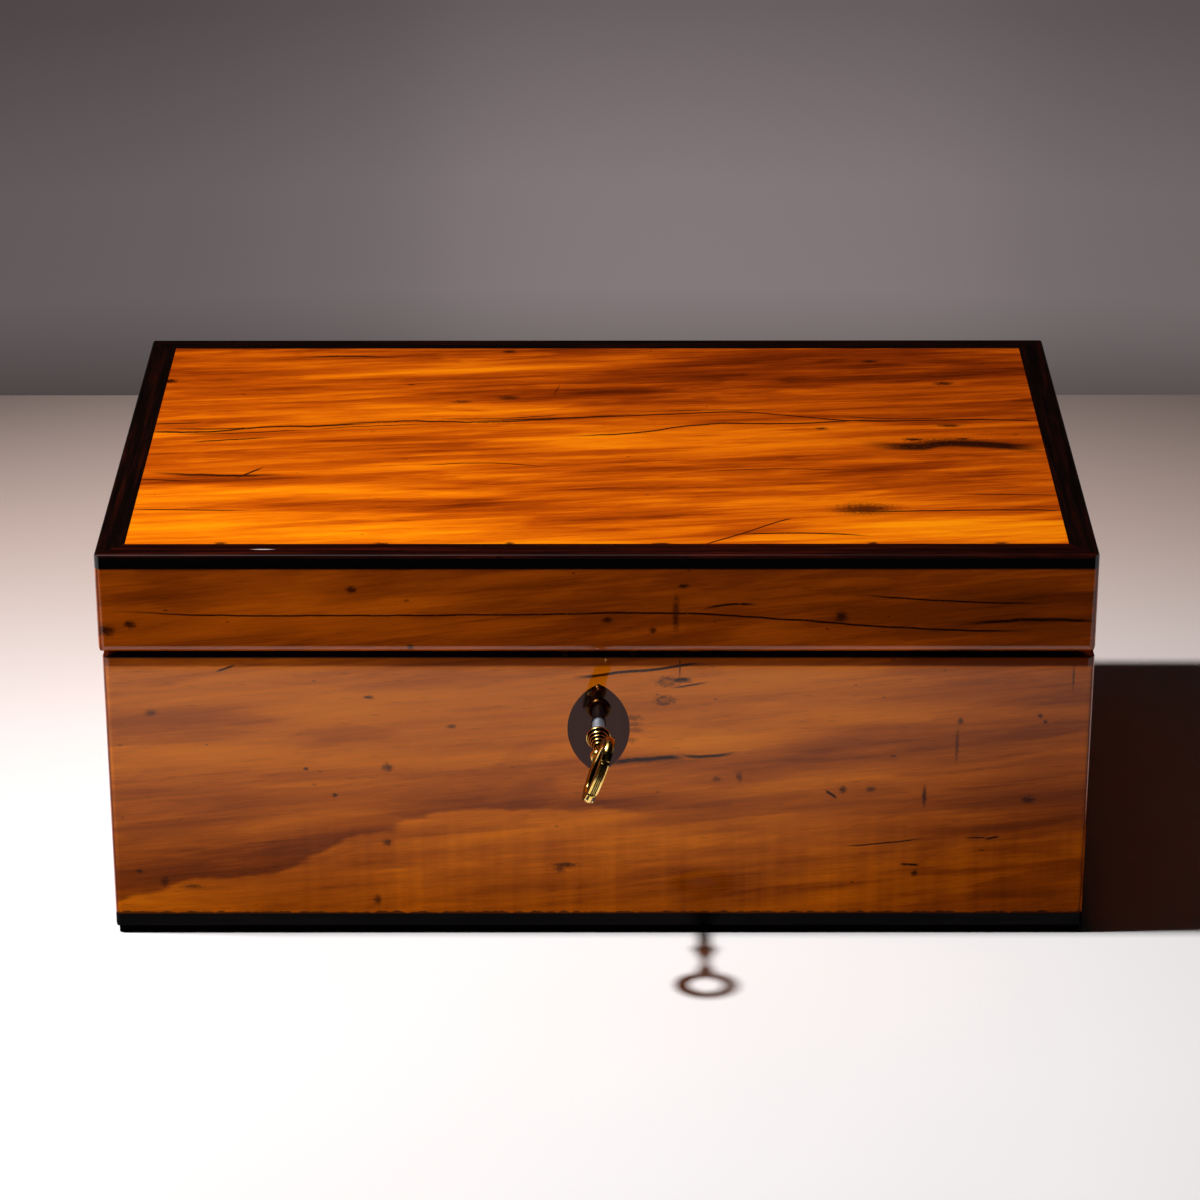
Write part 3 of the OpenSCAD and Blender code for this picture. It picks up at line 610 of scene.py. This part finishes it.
RAIL_MARKS = {
    "flames": (
        (-110, 124, 60, 9, 0.12),
        (110, 127, 70, 11, -0.12),
        (-150, 132, 16, 7, -0.12),
    ),
    "lines": (
        ([(-160, 126.8), (-130, 125.6), (-92, 125.5), (-48, 125.7), (7, 126.4)], 0.12, 0.4, 0.8, 20),
        (
            [(-10, 126.2), (33, 126.2), (64, 124.2), (97, 121.5), (120, 120.1), (145, 119.6)],
            0.18, 0.4, 0.8, 10,
        ),
        ([(38, 128.4), (45, 129.7), (54, 129.8)], 0.2, 0.5, 0.6, 3),
        ([(130, 122.6), (152, 123.8), (160, 123.7), (174, 122.9)], 0.25, 0.7, 1.6, 8),
        ([(95, 133), (125, 130.9), (150, 130.1)], 0.12, 0.4, 0.8, 10),
    ),
    "blots": (
        (27.1, 126, 0.9, 5.0, 0.75),
        (-172.5, 119.8, 2.4, 1.6, 0.9),
        (-164, 122.2, 1.6, 1.1, 0.9),
        (-86.3, 135.5, 1.5, 1.0, 0.9),
        (-66, 113.4, 0.9, 0.9, 0.9),
        (3, 123.8, 1.4, 0.9, 0.9),
        (85, 125, 1.6, 1.7, 0.9),
        (29.8, 136.8, 1.5, 0.7, 0.9),
        (19, 119.8, 0.9, 0.9, 0.9),
    ),
    "knots": (),
}


ROSEWOOD_TONES = [
    (0.0, srgb(10, 2, 2)),
    (0.45, srgb(30, 7, 4)),
    (0.75, srgb(56, 13, 6)),
    (1.0, srgb(86, 24, 9)),
]
# A darker copy of the rosewood tones for the back and side borders: painted shade
SHADED_ROSEWOOD_TONES = [
    (0.0, srgb(5, 3, 3)),
    (0.45, srgb(14, 6, 4)),
    (0.75, srgb(32, 9, 5)),
    (1.0, srgb(60, 16, 8)),
]
EBONY_TONES = [(0.0, srgb(4, 3, 4)), (0.5, srgb(8, 6, 7)), (1.0, srgb(20, 15, 15))]
FOOT_TONES = [(0.0, srgb(2, 2, 2)), (1.0, srgb(8, 6, 6))]
INLAY_TONES = [(0.0, srgb(4, 2, 2)), (0.5, srgb(12, 4, 4)), (1.0, srgb(34, 12, 10))]
INLAY_GLOSS = {"Specular_IOR_Level": 0.5, "Specular_Tint": (1.0, 0.58, 0.52, 1), "Roughness": 0.07}
CEDAR_TONES = [(0.0, srgb(92, 44, 24)), (0.5, srgb(142, 80, 46)), (1.0, srgb(178, 112, 68))]
PORE_COLOUR = srgb(6, 3, 3)
NICK_COLOUR = srgb(120, 96, 84)
SCRATCH_COLOUR = srgb(214, 190, 184)
# Near black of the border's faces under the arris: painted shade
BORDER_SHADE_COLOUR = srgb(4, 3, 3)
CEDAR_PORE_COLOUR = srgb(60, 28, 16)


def dark_wood(name, grain, seed, stops, coat, face=None, scratch=None, gloss=None):
    """Rosewood and ebony: fine dark streaks and pores.

    face(wood) gives the share painted black as shade, scratch is one pale oval
    (along, across, length, width), and gloss names sockets of a smooth piece whose pores are filled.
    """
    wood = Wood(name, grain, coat, **(gloss or {}))
    streaks = wood.figure(60, 2.2, seed, 4.0) * 1.5
    tone = 0.45 + streaks + wood.figure(14, 0.5, seed + 1, 3.0) * 0.9
    pores = wood.specks(5, 0.6, seed + 2, 0.4, 0.3)
    nicks = wood.specks(30, 9, seed + 3, 0.16, 0.03)
    colour = wood.mix(pores * 0.6, wood.ramp(tone, stops), PORE_COLOUR)
    colour = wood.mix(nicks * 0.4, colour, NICK_COLOUR)
    if scratch:
        colour = wood.mix(wood.spot(*scratch, soft=0.5, edge=0.0), colour, SCRATCH_COLOUR)
    # Painted shade: the faces under the arris are painted near black
    if face:
        colour = wood.mix(face(wood), colour, BORDER_SHADE_COLOUR)
    if gloss:
        return wood.wear(Base_Color=colour)
    relief = wood.bump(1 - pores, 0.04)
    return wood.wear(Base_Color=colour, Roughness=0.32 + pores * 0.2, Normal=relief)


def painted_shade_below_the_arris(wood):
    """Painted shade: the border's faces, painted black under the top's arris."""
    return wood.axes["Z"].fade(LID_TOP - 0.9, LID_TOP - 1.6)


def lining_wood(name, grain, seed):
    """Plain waxed cedar: pale rings, no gloss coat."""
    wood = Wood(name, grain, 0.15)
    rings = (wood.figure(160, 9, seed, 2.0, 0.5) * 26).math("SINE") * 0.16
    tone = 0.5 + rings + wood.figure(24, 0.8, seed + 1, 3.0) * 0.9 + wood.figure(90, 20, seed + 2) * 0.8
    pores = wood.specks(6, 0.7, seed + 3, 0.4, 0.28) * 0.5
    colour = wood.mix(pores, wood.ramp(tone, CEDAR_TONES), CEDAR_PORE_COLOUR)
    relief = wood.bump(1 - pores, 0.05)
    return wood.wear(Base_Color=colour, Roughness=0.5 + pores * 0.3, Normal=relief)


# Metals

POLISH_TONES = [(0.3, srgb(222, 170, 78)), (0.55, srgb(252, 214, 118)), (0.8, srgb(255, 228, 148))]
# Near-black brass for painted shade and dark reflections on the key handle
PAINTED_DARK_BRASS_TONES = [(0.35, srgb(14, 11, 8)), (0.6, srgb(34, 25, 15)), (0.75, srgb(120, 90, 44))]
PATINA_TONES = [(0.3, srgb(128, 88, 36)), (0.5, srgb(184, 138, 64)), (0.75, srgb(210, 168, 88))]
STEEL_TONES = [(0.3, srgb(176, 180, 196)), (0.5, srgb(222, 228, 244)), (0.8, srgb(236, 242, 255))]


def polished_brass():
    """The key's bow and neck: bright, with a haze of fine handling marks."""
    metal = Finish("polished brass", Metallic=1.0)
    haze = metal.noise((3, 3, 3), 1.0, 5.0)
    scuffs = metal.noise((0.5, 2.5, 0.5), 2.0, 4.0)
    colour = metal.ramp(haze, POLISH_TONES)
    relief = metal.bump(scuffs, 0.012)
    return metal.wear(Base_Color=colour, Roughness=haze * 0.14 + 0.10, Normal=relief)


def painted_dark_brass():
    """Painted shade and dark reflections: near-black brass on the flat sides, hollows and grooves of
    the key's handle.
    """
    metal = Finish("brass painted dark", Metallic=1.0)
    haze = metal.noise((1.2, 1.2, 1.2), 7.0, 4.0)
    return metal.wear(Base_Color=metal.ramp(haze, PAINTED_DARK_BRASS_TONES), Roughness=0.34 - haze * 0.2)


def lock_brass():
    """Old brass of lock, hinges and link plate: duller, browner in its hollows, with drawn marks."""
    metal = Finish("lock brass", Metallic=1.0)
    patina = metal.noise((9, 9, 9), 3.0, 5.0, 0.4)
    drawn = metal.noise((8, 0.3, 0.3), 4.0, 3.0)
    colour = metal.ramp(patina, PATINA_TONES)
    relief = metal.bump(drawn, 0.02)
    return metal.wear(Base_Color=colour, Roughness=0.5 - patina * 0.3, Normal=relief)


def bright_steel():
    """Turned steel of shank, pins and base screws."""
    metal = Finish("bright steel", Metallic=1.0)
    turned = metal.noise((4, 0.25, 4), 5.0, 3.0)
    stain = metal.noise((6, 6, 6), 6.0, 4.0)
    colour = metal.ramp(stain, STEEL_TONES)
    relief = metal.bump(turned, 0.12)
    return metal.wear(Base_Color=colour, Roughness=turned * 0.2 + 0.36, Normal=relief)


def dress(nodes, material):
    """Gives CAD nodes a material in place of their plain one."""
    for name in nodes:
        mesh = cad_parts[name].data
        mesh.materials.clear()
        mesh.materials.append(material)


# Each side's way along, way out and first seed
SIDES = {
    "front": ("X", "Y", 3.0),
    "back": ("X", "Y", 8.0),
    "left": ("Y", "X", 13.0),
    "right": ("Y", "X", 18.0),
}
BORDER_SCRATCH = (-117, -102.3, 3.4, 0.3)


def dress_golden_boards():
    """The photographed boards by their own marks, and the rest of body and lid by strewn ones."""
    panel = planned_board("panel satinwood", "XYZ", 1.0, amber(0.108, 0.29), panel_tone, PANEL_MARKS)
    front = planned_board(
        "front satinwood", "XZY", 30.0, amber(0.14, 0.275, 1), front_tone, FRONT_MARKS,
        coat=dull_at_the_foot, gap_shade_and_dark_edges=front_gap_shade_and_dark_edges)
    rail = planned_board(
        "rail satinwood", "XZY", 30.0, amber(0.155, 0.25), rail_tone, RAIL_MARKS,
        coat=rail_polish, gap_shade_and_dark_edges=rail_gap_shade_and_dark_edges)
    dress(["lid_panel"], panel)
    dress(["front_board"], front)
    dress(["lid_front_rail"], rail)
    dress(["back_board", "lid_back_rail"], satin_board("back satinwood", "XZY", 50.0, BODY_HALF))
    dress(["left_board", "lid_left_rail"], satin_board("left satinwood", "YZX", 70.0, HALF_DEPTH))
    dress(["right_board", "lid_right_rail"], satin_board("right satinwood", "YZX", 90.0, HALF_DEPTH))


def dress_dark_woods_and_linings():
    for side, (along, out, seed) in SIDES.items():
        grain = along + out + "Z"
        # The back and side borders take the darker copy of the rosewood: painted shade
        tones = ROSEWOOD_TONES if side == "front" else SHADED_ROSEWOOD_TONES
        scratch = BORDER_SCRATCH if side == "front" else None
        border = dark_wood(f"{side} rosewood", grain, seed, tones, 1.0, painted_shade_below_the_arris, scratch)
        ebony = dark_wood(f"{side} ebony", grain, seed + 100, EBONY_TONES, 0.06)
        cedar = lining_wood(f"{side} cedar", along + "Z" + out, seed + 40)
        dress([f"border_{side}"], border)
        dress([f"band_{side}"], ebony)
        dress([f"lining_{side}", f"lid_lining_{side}"], cedar)
    dress(["floor_board"], lining_wood("floor cedar", "XYZ", 60.0))
    dress(["foot_board"], dark_wood("foot ebony", "XYZ", 140.0, FOOT_TONES, 0.0))
    inlay = dark_wood("inlay ebony", "ZXY", 150.0, INLAY_TONES, 0.0, gloss=INLAY_GLOSS)
    dress(["escutcheon"], inlay)


def dress_metals():
    leaves = [f"hinge_{side}_{leaf}_leaf" for side in ("left", "right") for leaf in ("lower", "upper")]
    screws = ["lock_screws", "link_screws", "hinge_lower_screws", "hinge_upper_screws"]
    dress(["lock_plate", "lock_cap", "lock_bolt", "link_plate", *screws, *leaves], lock_brass())
    pins = ["drill_pin", "bolt_stump", "hinge_left_pin", "hinge_right_pin"]
    dress(["base_screws", "key_shank", *pins], bright_steel())


# Key handle: drawn along +Z out of the face with its bow upright in +Y, then leaned to its rest

FRONT_FACE = -HALF_DEPTH
KEY_HEIGHT = 83.8
KEY_LEAN = math.radians(20)
SPOKES = 64
SHARP_ANGLE = math.radians(38)

# Neck: outlines are (radius, height, dark), where dark tells if the strip after the point is painted
# dark
COLLAR_OUT = 10
NECK_LENGTH = 20.4
COLLAR = [
    (0.0, 0.0, False), (2.9, 0.0, False), (3.3, 0.15, False), (3.8, 0.6, False), (4.15, 1.2, False),
    (4.38, 2.0, False), (4.3, 2.3, False), (4.08, 2.5, True), (3.6, 2.62, True), (2.85, 2.66, True),
]
RINGS = 4
RINGS_START, RING_STEP = 3.3, 1.7
RING_RADIUS, RING_TAPER = 3.7, 0.58

# Bow: an oval of four arcs, two wide ones across the shank's line and two tight ones at the ends
BOW_OUT = 37.3
BOW_THICK = 1.6
RIM = 2.1
SIDE_RADIUS, SIDE_SHIFT = 15.10, 8.20
END_RADIUS, END_SHIFT = 5.38, 5.22

# Reeds: on the rim's outer face, up to this many degrees to each side of the way out
REED_TURN = 21.0
REED_PITCH = 0.64
REED_END_STEPS = (-0.1, 0.1, 1.0, 1.5, 2.0, 2.5, 3.0, 4.0, 5.0)
REED_END_REACH = 5


def bead(low, high, foot, top, steps=8):
    """Half outline of a bead between two heights, foot and top in radius, as (radius, height)."""
    turns = [math.pi * i / steps for i in range(steps + 1)]
    middle, half = (low + high) / 2, (high - low) / 2
    return [(foot + (top - foot) * math.sin(a) ** 0.55, middle - half * math.cos(a)) for a in turns]


def stepped_ring(low, top):
    """One of the stepped rings: bright over its crown, painted shade on its outer face and in its
    groove.
    """
    return [
        (top - 0.75, low, False),
        (top - 0.2, low + 0.06, False),
        (top - 0.03, low + 0.26, False),
        (top, low + 0.5, False),
        (top - 0.03, low + 0.74, False),
        (top - 0.2, low + 0.96, True),
        (top - 0.85, low + 1.02, True),
    ]


def neck_outline():
    """Half outline of collar, rings and stem."""
    outline = list(COLLAR)
    for number in range(RINGS):
        outline += stepped_ring(RINGS_START + number * RING_STEP, RING_RADIUS - RING_TAPER * number)
    stem = [(1.3, 10.0), (1.5, 12.0), (1.7, 15.0), *bead(15.3, 18.1, 2.0, 2.9)]
    stem += [(2.2, 18.3), (2.2, NECK_LENGTH), (0.0, NECK_LENGTH)]
    return outline + [(radius, height, False) for radius, height in stem]


def bow_turns():
    """Angles of the rim's outward normal from the way out, close together where the reeds end."""
    reed_end = REED_TURN + REED_END_REACH
    turns = [float(turn) for turn in range(-32, 33) if not REED_TURN <= abs(turn) <= reed_end]
    turns += [side * (REED_TURN + step) for side in (-1, 1) for step in REED_END_STEPS]
    turns += [float(turn) for turn in range(34, 330, 4)]
    return sorted(turn % 360 for turn in turns)


def bow_place(turn, out, aside):
    """A point of the bow at one turn, out from the rim's middle line and aside from its plane."""
    up, forth = math.sin(turn), math.cos(turn)
    if abs(forth) >= math.cos(math.atan2(END_SHIFT, SIDE_SHIFT)):
        middle_up, middle_forth, radius = 0, -math.copysign(SIDE_SHIFT, forth), SIDE_RADIUS
    else:
        middle_up, middle_forth, radius = math.copysign(END_SHIFT, up), 0, END_RADIUS
    reach = radius + out
    return Vector((aside, middle_up + reach * up, BOW_OUT + middle_forth + reach * forth))


def rim_outline(turn):
    """Section of the bow's rim as (out, aside, dark): reeded on its outer face, domed elsewhere, with
    painted shade in the grooves and nicks, on the flat sides, inside and on the ends' flanks.
    """
    off = min(turn, 360 - turn)
    reeded = off < REED_TURN
    nick = max(0, 1 - abs(off - REED_TURN - 2) / 2) * 0.45
    outline = []
    for step in range(-20, 21):
        aside = step / 16
        groove = abs((aside / REED_PITCH + 0.5) % 1 - 0.5) * REED_PITCH
        grooved = reeded and abs(aside) < 1.5 * REED_PITCH and groove < 0.22
        sink = 0.05 + 0.3 * grooved if reeded else 0.42 * (aside / 1.25) ** 2 + nick
        # Painted dark reflection on the flanks of the bow's ends
        painted_dark_end = 25 < off < 42 and abs(aside) > 0.55
        outline.append((RIM - sink, aside, grooved or painted_dark_end or nick > 0.2))
    shoulder = RIM - 0.35 - nick
    return outline + [
        (shoulder, BOW_THICK, True),
        (-1.3, BOW_THICK, False),
        (-1.75, 1.4, False),
        (-2.0, 1.1, True),
        (-RIM, 0.5, True),
        (-RIM, -0.5, True),
        (-2.0, -1.1, False),
        (-1.75, -1.4, False),
        (-1.3, -BOW_THICK, True),
        (shoulder, -BOW_THICK, False),
    ]


def painted_dark_pairs(ring, painted_dark):
    """The neighbouring points of a ring whose strip is painted dark as shade, by a list of flags."""
    return {pair for pair, flag in zip(zip(ring, ring[1:] + ring[:1]), painted_dark) if flag}


def close_rings(mesh, rings, painted_dark_strips, around):
    """Skins neighbouring rings of points with quads, and the last with the first where around is true.

    The strips that start at a pair of points in the given set get the second material: brass painted
    dark, as shade and reflection.
    """
    for first, second in zip(rings, rings[1:] + rings[:1] if around else rings[1:]):
        for i in range(len(first)):
            j = (i + 1) % len(first)
            corners = [first[i], first[j], second[j], second[i]]
            face = mesh.faces.new([c for n, c in enumerate(corners) if c not in corners[:n]])
            face.material_index = int((first[i], first[j]) in painted_dark_strips)


def turn_neck(mesh):
    """The turned neck, as rings of points round the shank's line."""
    turns = [2 * math.pi * i / SPOKES for i in range(SPOKES)]
    spokes = [(math.cos(turn), math.sin(turn)) for turn in turns]
    outline = neck_outline()
    tip, end = (mesh.verts.new((0, 0, COLLAR_OUT + height)) for height in (0.0, NECK_LENGTH))
    rings, painted_dark_strips = [[tip] * SPOKES], set()
    for radius, height, painted_dark in outline[1:-1]:
        out = COLLAR_OUT + height
        ring = [mesh.verts.new((radius * c, radius * s, out)) for c, s in spokes]
        rings.append(ring)
        painted_dark_strips |= painted_dark_pairs(ring, [painted_dark] * SPOKES)
    rings.append([end] * SPOKES)
    close_rings(mesh, rings, painted_dark_strips, around=False)


def bend_bow(mesh):
    """The bow, as sections of its rim one after the other."""
    rings, painted_dark_strips = [], set()
    for turn in bow_turns():
        outline = rim_outline(turn)
        places = [bow_place(math.radians(turn), out, aside) for out, aside, _ in outline]
        ring = [mesh.verts.new(place) for place in places]
        rings.append(ring)
        painted_dark_strips |= painted_dark_pairs(ring, [painted_dark for *_, painted_dark in outline])
    close_rings(mesh, rings, painted_dark_strips, around=True)


def key_handle():
    """The turned neck and the bow with its reeds, as one piece that turns with the key."""
    mesh = bmesh.new()
    turn_neck(mesh)
    bend_bow(mesh)
    bmesh.ops.recalc_face_normals(mesh, faces=mesh.faces)
    stand = Matrix.Translation((0, FRONT_FACE, KEY_HEIGHT)) @ Matrix.Rotation(math.pi / 2, 4, "X")
    mesh.transform(Matrix.Scale(MM, 4) @ stand @ Matrix.Rotation(-KEY_LEAN, 4, "Z"))
    data = bpy.data.meshes.new("turned_key_handle")
    mesh.to_mesh(data)
    data.shade_smooth()
    data.set_sharp_from_angle(angle=SHARP_ANGLE)
    data.materials.append(polished_brass())
    # The second material paints shade and dark reflections on the handle's dark strips
    data.materials.append(painted_dark_brass())
    handle = bpy.data.objects.new("turned_key_handle", data)
    bpy.context.scene.collection.objects.link(handle)
    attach(handle, "key")
    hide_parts("key_handle")


# Table, light and camera

TABLE_BACK = 432
TABLE_FRONT = -336
TABLE_HALF_WIDTH = 2400
TABLE_THICKNESS = 30
TABLE_TONES = [(0.3, srgb(241, 240, 241)), (0.7, srgb(247, 247, 249))]
# Redder, darker colour towards the table's back: painted shade
TABLE_BACK_COLOUR = srgb(238, 212, 203)


def table():
    """A pale table as deep as the photographed one, with painted shade that makes it a little redder
    and darker towards its back.
    """
    mesh = bmesh.new()
    bmesh.ops.create_cube(mesh, size=1.0)
    size = Vector((2 * TABLE_HALF_WIDTH, TABLE_BACK - TABLE_FRONT, TABLE_THICKNESS)) * MM
    middle = Vector((0, (TABLE_BACK + TABLE_FRONT) / 2, -TABLE_THICKNESS / 2)) * MM
    bmesh.ops.scale(mesh, vec=size, verts=mesh.verts)
    bmesh.ops.translate(mesh, vec=middle, verts=mesh.verts)
    data = bpy.data.meshes.new("table")
    mesh.to_mesh(data)
    top = bpy.data.objects.new("table", data)
    bpy.context.scene.collection.objects.link(top)
    paint = Finish("pale table", Roughness=0.55, Specular_IOR_Level=0.3)
    cloud = paint.noise((400, 300, 400), 1.0, 3.0)
    # Painted shade: redder and darker towards the back
    backward = paint.axes["Y"].fade(-60, 320)
    colour = paint.mix(backward, paint.ramp(cloud, TABLE_TONES), TABLE_BACK_COLOUR)
    data.materials.append(paint.wear(Base_Color=colour))


LAMP_PLACE = Vector((-772, -110, 1786))
LAMP_AIM = Vector((-80, -280, 0))
LAMP_BEAM = math.radians(52)
LAMP_RADIUS = 55
LAMP_WATTS = 178
LAMP_COLOUR = (1.0, 0.985, 0.97)

# What the camera and reflections see, by height: 0 is straight down, 0.5 level and 1 straight up
WALL_TONES = [
    (0.0, srgb(84, 76, 76)),
    (0.3175, srgb(80, 72, 71)),
    (0.3225, srgb(98, 90, 89)),
    (0.331, srgb(123, 113, 114)),
    (0.344, srgb(122, 112, 113)),
    (0.364, srgb(98, 89, 90)),
    (0.50, srgb(62, 56, 57)),
    (0.62, srgb(10, 9, 9)),
]
# The wall's share of WALL_PEAK from left to right, between directions whose X is -0.25 and 0.25
WALL_SHARES = [
    (0.0, 0.52), (0.25, 0.56), (0.38, 0.72), (0.5, 0.985), (0.62, 0.96), (0.75, 0.74), (1.0, 0.66),
]
WALL_PEAK = 1.16
BELOW_THE_TABLE = (0.001, 0.001, 0.001, 1)
HALO_GAIN = 1.3

# What lights the rest: a band under the horizon, weaker behind, to the right and overhead
FRONT_FILL = 0.75
BACK_FILL = 0.40
TOP_FILL = 0.004
RIGHT_FILL = 0.55
GLOW_TONES = [
    (0.24, (0.0, 0.0, 0.0, 1)),
    (0.29, (1.0, 0.95, 0.93, 1)),
    (0.47, (1.0, 0.95, 0.93, 1)),
    (0.52, (TOP_FILL, TOP_FILL, TOP_FILL, 1)),
]


def plain_backdrop(room, direction, toward, height, glossy_ray):
    """A grey wall, dark below the table's front edge in reflections, with a halo round the lamp."""
    across = room.node("ShaderNodeFloatCurve", (1.0, toward["X"].scaled(2, 0.5)), bends=WALL_SHARES)
    wall = room.mix(1.0, room.ramp(height, WALL_TONES), across.scaled(WALL_PEAK, 0), "MULTIPLY")
    floor_edge = toward["Z"].fade(-0.385, -0.395) * toward["Y"].fade(-0.7, -0.8) * glossy_ray
    wall = room.mix(floor_edge, wall, BELOW_THE_TABLE)
    lamp_way = (LAMP_PLACE - Vector((0, FRONT_FACE, 0))).normalized()
    halo = room.vector("DOT_PRODUCT", direction, lamp_way, out="Value").fade(0.84, 0.98)
    sky = room.mix(1.0, wall, halo * HALO_GAIN, "ADD")
    return room.node("ShaderNodeBackground", (sky,))


def soft_fill(room, toward, height):
    """Soft light from all round, strongest from the front."""
    frontal = toward["Y"].fade(0.3, -0.5).scaled(FRONT_FILL - BACK_FILL, BACK_FILL)
    rightward = toward["X"].fade(0.0, 0.9).scaled(RIGHT_FILL - 1, 1)
    return room.node("ShaderNodeBackground", (room.ramp(height, GLOW_TONES), frontal * rightward))


def surroundings():
    """The backdrop for the camera and for reflections, and the soft fill for all other light."""
    world = bpy.data.worlds.new("studio")
    bpy.context.scene.world = world
    world.use_nodes = True
    world.node_tree.nodes.clear()
    room = Shading(world.node_tree)
    kinds = ("Camera", "Glossy", "Transmission")
    rays = {kind: room.node("ShaderNodeLightPath", out=f"Is {kind} Ray") for kind in kinds}
    seen = rays["Camera"] | rays["Glossy"] | rays["Transmission"]
    direction = room.node("ShaderNodeTexCoord", out="Generated")
    toward = room.split(direction)
    height = toward["Z"].scaled(0.5, 0.5)
    backdrop = plain_backdrop(room, direction, toward, height, rays["Glossy"])
    either = room.node("ShaderNodeMixShader", (seen, soft_fill(room, toward, height), backdrop))
    room.node("ShaderNodeOutputWorld", (either,), out=None)


def lamp():
    """One soft lamp high on the left, whose wide beam fades towards the back of the table."""
    light = bpy.data.lights.new("lamp", "SPOT")
    light.spot_size = LAMP_BEAM
    light.spot_blend = 1.0
    light.shadow_soft_size = LAMP_RADIUS * MM
    light.energy = LAMP_WATTS
    light.color = LAMP_COLOUR
    holder = bpy.data.objects.new("lamp", light)
    holder.location = LAMP_PLACE * MM
    holder.rotation_euler = (LAMP_AIM - LAMP_PLACE).to_track_quat("-Z", "Y").to_euler()
    bpy.context.scene.collection.objects.link(holder)


CAMERA_PLACE = Vector((1.9, -1455.9, 727.8))
CAMERA_DOWN = math.radians(23.858)
CAMERA_TURN = math.radians(0.058)
CAMERA_ROLL = math.radians(0.049)
CAMERA_LENS = 126.77
SENSOR_WIDTH = 36


def camera():
    """The photograph's view: an 8 degree half angle from 24 degrees above."""
    data = bpy.data.cameras.new("camera")
    data.sensor_width = SENSOR_WIDTH
    data.lens = CAMERA_LENS
    data.clip_end = 20
    eye = bpy.data.objects.new("camera", data)
    down = Matrix.Rotation(math.pi / 2 - CAMERA_DOWN, 4, "X")
    turn = Matrix.Rotation(CAMERA_TURN, 4, "Z") @ down
    roll = Matrix.Rotation(-CAMERA_ROLL, 4, "Z")
    eye.matrix_world = Matrix.Translation(CAMERA_PLACE * MM) @ turn @ roll
    bpy.context.scene.collection.objects.link(eye)
    bpy.context.scene.camera = eye


dress_golden_boards()
dress_dark_woods_and_linings()
dress_metals()
key_handle()
table()
surroundings()
lamp()
camera()
bpy.context.scene.view_settings.view_transform = "Standard"
